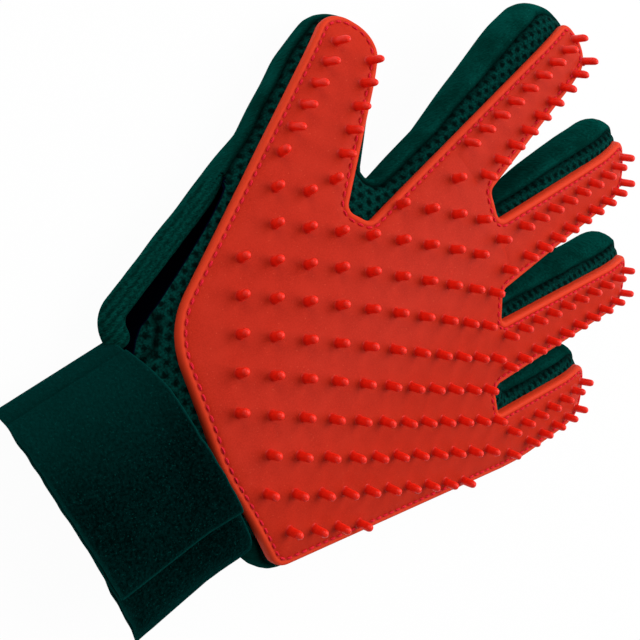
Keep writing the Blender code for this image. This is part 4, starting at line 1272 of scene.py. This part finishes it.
def knit(name, dark, light):
    """Knitted velvet of the hem: soft ribs along it and short slanted stitches."""
    nodes = Nodes(name, dark, roughness=1.0, gloss=0.0)
    _, edge, _ = vent_frame()
    turn = atan2(edge[1], edge[0])
    values = {"Vector": nodes.pattern(turn=turn), "Scale": HEM_RIBS, "Distortion": 1.5,
              "Detail": 2.0, "Detail Scale": 2.0}
    ribs = nodes.node("ShaderNodeTexWave", values, bands_direction="Y").outputs["Fac"]
    slants = nodes.speckle(1.0, 2.0, where=nodes.pattern(HEM_SLANTS, turn + HEM_SLANT_TURN))
    fuzz = nodes.speckle(HEM_FUZZ, detail=3.0)
    both = nodes.math("MULTIPLY", nodes.ramp(ribs, 0.0, 1.0, 0.6, 1.0), slants)
    shade = nodes.math("MULTIPLY", both, nodes.ramp(fuzz, 0.3, 0.7, 0.6, 1.2))
    nodes.colour(nodes.mix(nodes.ramp(shade, 0.18, 0.56), dark, light))
    nodes.sheen(0.14, tint=VELVET_SHEEN_COLOUR)
    nodes.bump(shade, strength=0.6, distance=0.0008)
    return nodes.finish


def pile(name, dark, light, edge):
    """Fleece of the strap: fine fuzz on soft clouds, light specks, and lighter where the mark is: cut edges
    partly in painted sheen, painted light towards the thumb side.
    """
    nodes = Nodes(name, dark, roughness=1.0, gloss=0.0)
    fuzz = nodes.speckle(PILE_FUZZ, detail=4.0)
    cloud = nodes.speckle(PILE_CLOUDS, detail=2.0)
    share = nodes.math("ADD", fuzz, nodes.ramp(cloud, 0.3, 0.7, -0.06, 0.06))
    fleece = nodes.mix(nodes.ramp(share, 0.36, 0.70), dark, light)
    specks = nodes.ramp(nodes.speckle(PILE_SPECKS, detail=1.0), 0.64, 0.76, 0.0, 0.55)
    nodes.colour(nodes.mix(nodes.mark(), nodes.mix(specks, fleece, edge), edge))
    nodes.sheen(0.14, tint=PILE_SHEEN_COLOUR)
    nodes.bump(fuzz, strength=0.7, distance=0.0006)
    return nodes.finish


def woven(name, dark, light, roughness):
    """Plain cloth or tape with a fine weave."""
    nodes = Nodes(name, dark, roughness, gloss=0.02)
    values = {"Vector": nodes.pattern(), "Scale": WEAVE_CHECKS}
    weave = nodes.node("ShaderNodeTexChecker", values).outputs["Fac"]
    share = nodes.math("MULTIPLY", weave, nodes.speckle(WEAVE_FUZZ, detail=2.0))
    nodes.colour(nodes.mix(share, dark, light))
    return nodes.finish


# Floor, light and camera

def floor():
    """Floor that takes soft shadows and looks nearly white from the camera."""
    mesh = bpy.data.meshes.new("floor")
    corners = ((-1.0, -1.0), (1.0, -1.0), (1.0, 1.0), (-1.0, 1.0))
    mesh.from_pydata([(FLOOR_REACH * x, FLOOR_REACH * y, 0.0) for x, y in corners], [], [(0, 1, 2, 3)])
    nodes = Nodes("floor", FLOOR_COLOUR, roughness=1.0)
    glow = nodes.node("ShaderNodeEmission", {"Color": WHITE, "Strength": 1.0})
    path = nodes.node("ShaderNodeLightPath")
    seen = nodes.math("MULTIPLY", path.outputs["Is Camera Ray"], FLOOR_GLOW)
    both = nodes.node("ShaderNodeMixShader", {0: seen, 1: nodes.shader.outputs[0], 2: glow.outputs[0]})
    nodes.tree.links.new(both.outputs[0], nodes.tree.nodes["Material Output"].inputs["Surface"])
    mesh.materials.append(nodes.finish)
    return placed("floor", mesh)


def area_light(name, place, size, power):
    light = bpy.data.lights.new(name, "AREA")
    light.shape = "DISK"
    light.size = size
    light.energy = power
    lamp = placed(name, light)
    lamp.location = place
    lamp.rotation_euler = (LIGHT_TARGET - place).to_track_quat("-Z", "Y").to_euler()
    return lamp


def studio():
    """Light from all around with a white backdrop, a key light and a fill light."""
    world = bpy.data.worlds.new("studio")
    world.use_nodes = True
    tree = world.node_tree
    around = tree.nodes["Background"]
    around.inputs["Color"].default_value = WHITE
    around.inputs["Strength"].default_value = WORLD_LIGHT
    backdrop = tree.nodes.new("ShaderNodeBackground")
    backdrop.inputs["Color"].default_value = WHITE
    path = tree.nodes.new("ShaderNodeLightPath")
    both = tree.nodes.new("ShaderNodeMixShader")
    tree.links.new(path.outputs["Is Camera Ray"], both.inputs[0])
    tree.links.new(around.outputs[0], both.inputs[1])
    tree.links.new(backdrop.outputs[0], both.inputs[2])
    tree.links.new(both.outputs[0], tree.nodes["World Output"].inputs["Surface"])
    bpy.context.scene.world = world
    key = area_light("key", KEY_PLACE, KEY_SIZE, KEY_POWER)
    fill = area_light("fill", FILL_PLACE, FILL_SIZE, FILL_POWER)
    floor()


def camera():
    lens = bpy.data.cameras.new("camera")
    lens.lens = CAMERA_LENS
    lens.sensor_width = CAMERA_SENSOR
    lens.clip_start = CAMERA_CLIP_START
    view = placed("camera", lens)
    view.location = CAMERA_PLACE
    view.rotation_euler = CAMERA_TURN
    scene = bpy.context.scene
    scene.camera = view
    scene.view_settings.view_transform = "Standard"


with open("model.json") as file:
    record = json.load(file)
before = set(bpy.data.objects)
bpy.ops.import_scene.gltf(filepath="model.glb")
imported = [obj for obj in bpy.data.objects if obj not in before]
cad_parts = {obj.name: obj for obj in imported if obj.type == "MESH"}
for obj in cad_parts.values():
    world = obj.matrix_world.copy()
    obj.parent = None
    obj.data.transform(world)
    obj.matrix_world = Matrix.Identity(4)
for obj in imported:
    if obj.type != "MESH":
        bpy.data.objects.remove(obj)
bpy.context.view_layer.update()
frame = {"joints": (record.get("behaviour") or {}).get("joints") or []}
SHIFT = frame_shift(frame["joints"])
pad_pieces([rubber(), nub_rubber(), thread()])
lining = woven("lining", *SHADE_LINING_COLOURS, roughness=0.95)
fabric_pieces([air_mesh(), velvet("velvet", *VELVET_COLOURS), lining])
hem(knit("hem_knit", *HEM_COLOURS))
strap_pieces([pile("pile", *PILE_COLOURS, PILE_SPECK_EDGE_AND_PAINTED_LIGHT_COLOUR),
              woven("hook_tape", *HOOK_COLOURS, roughness=0.6), lining])
studio()
camera()
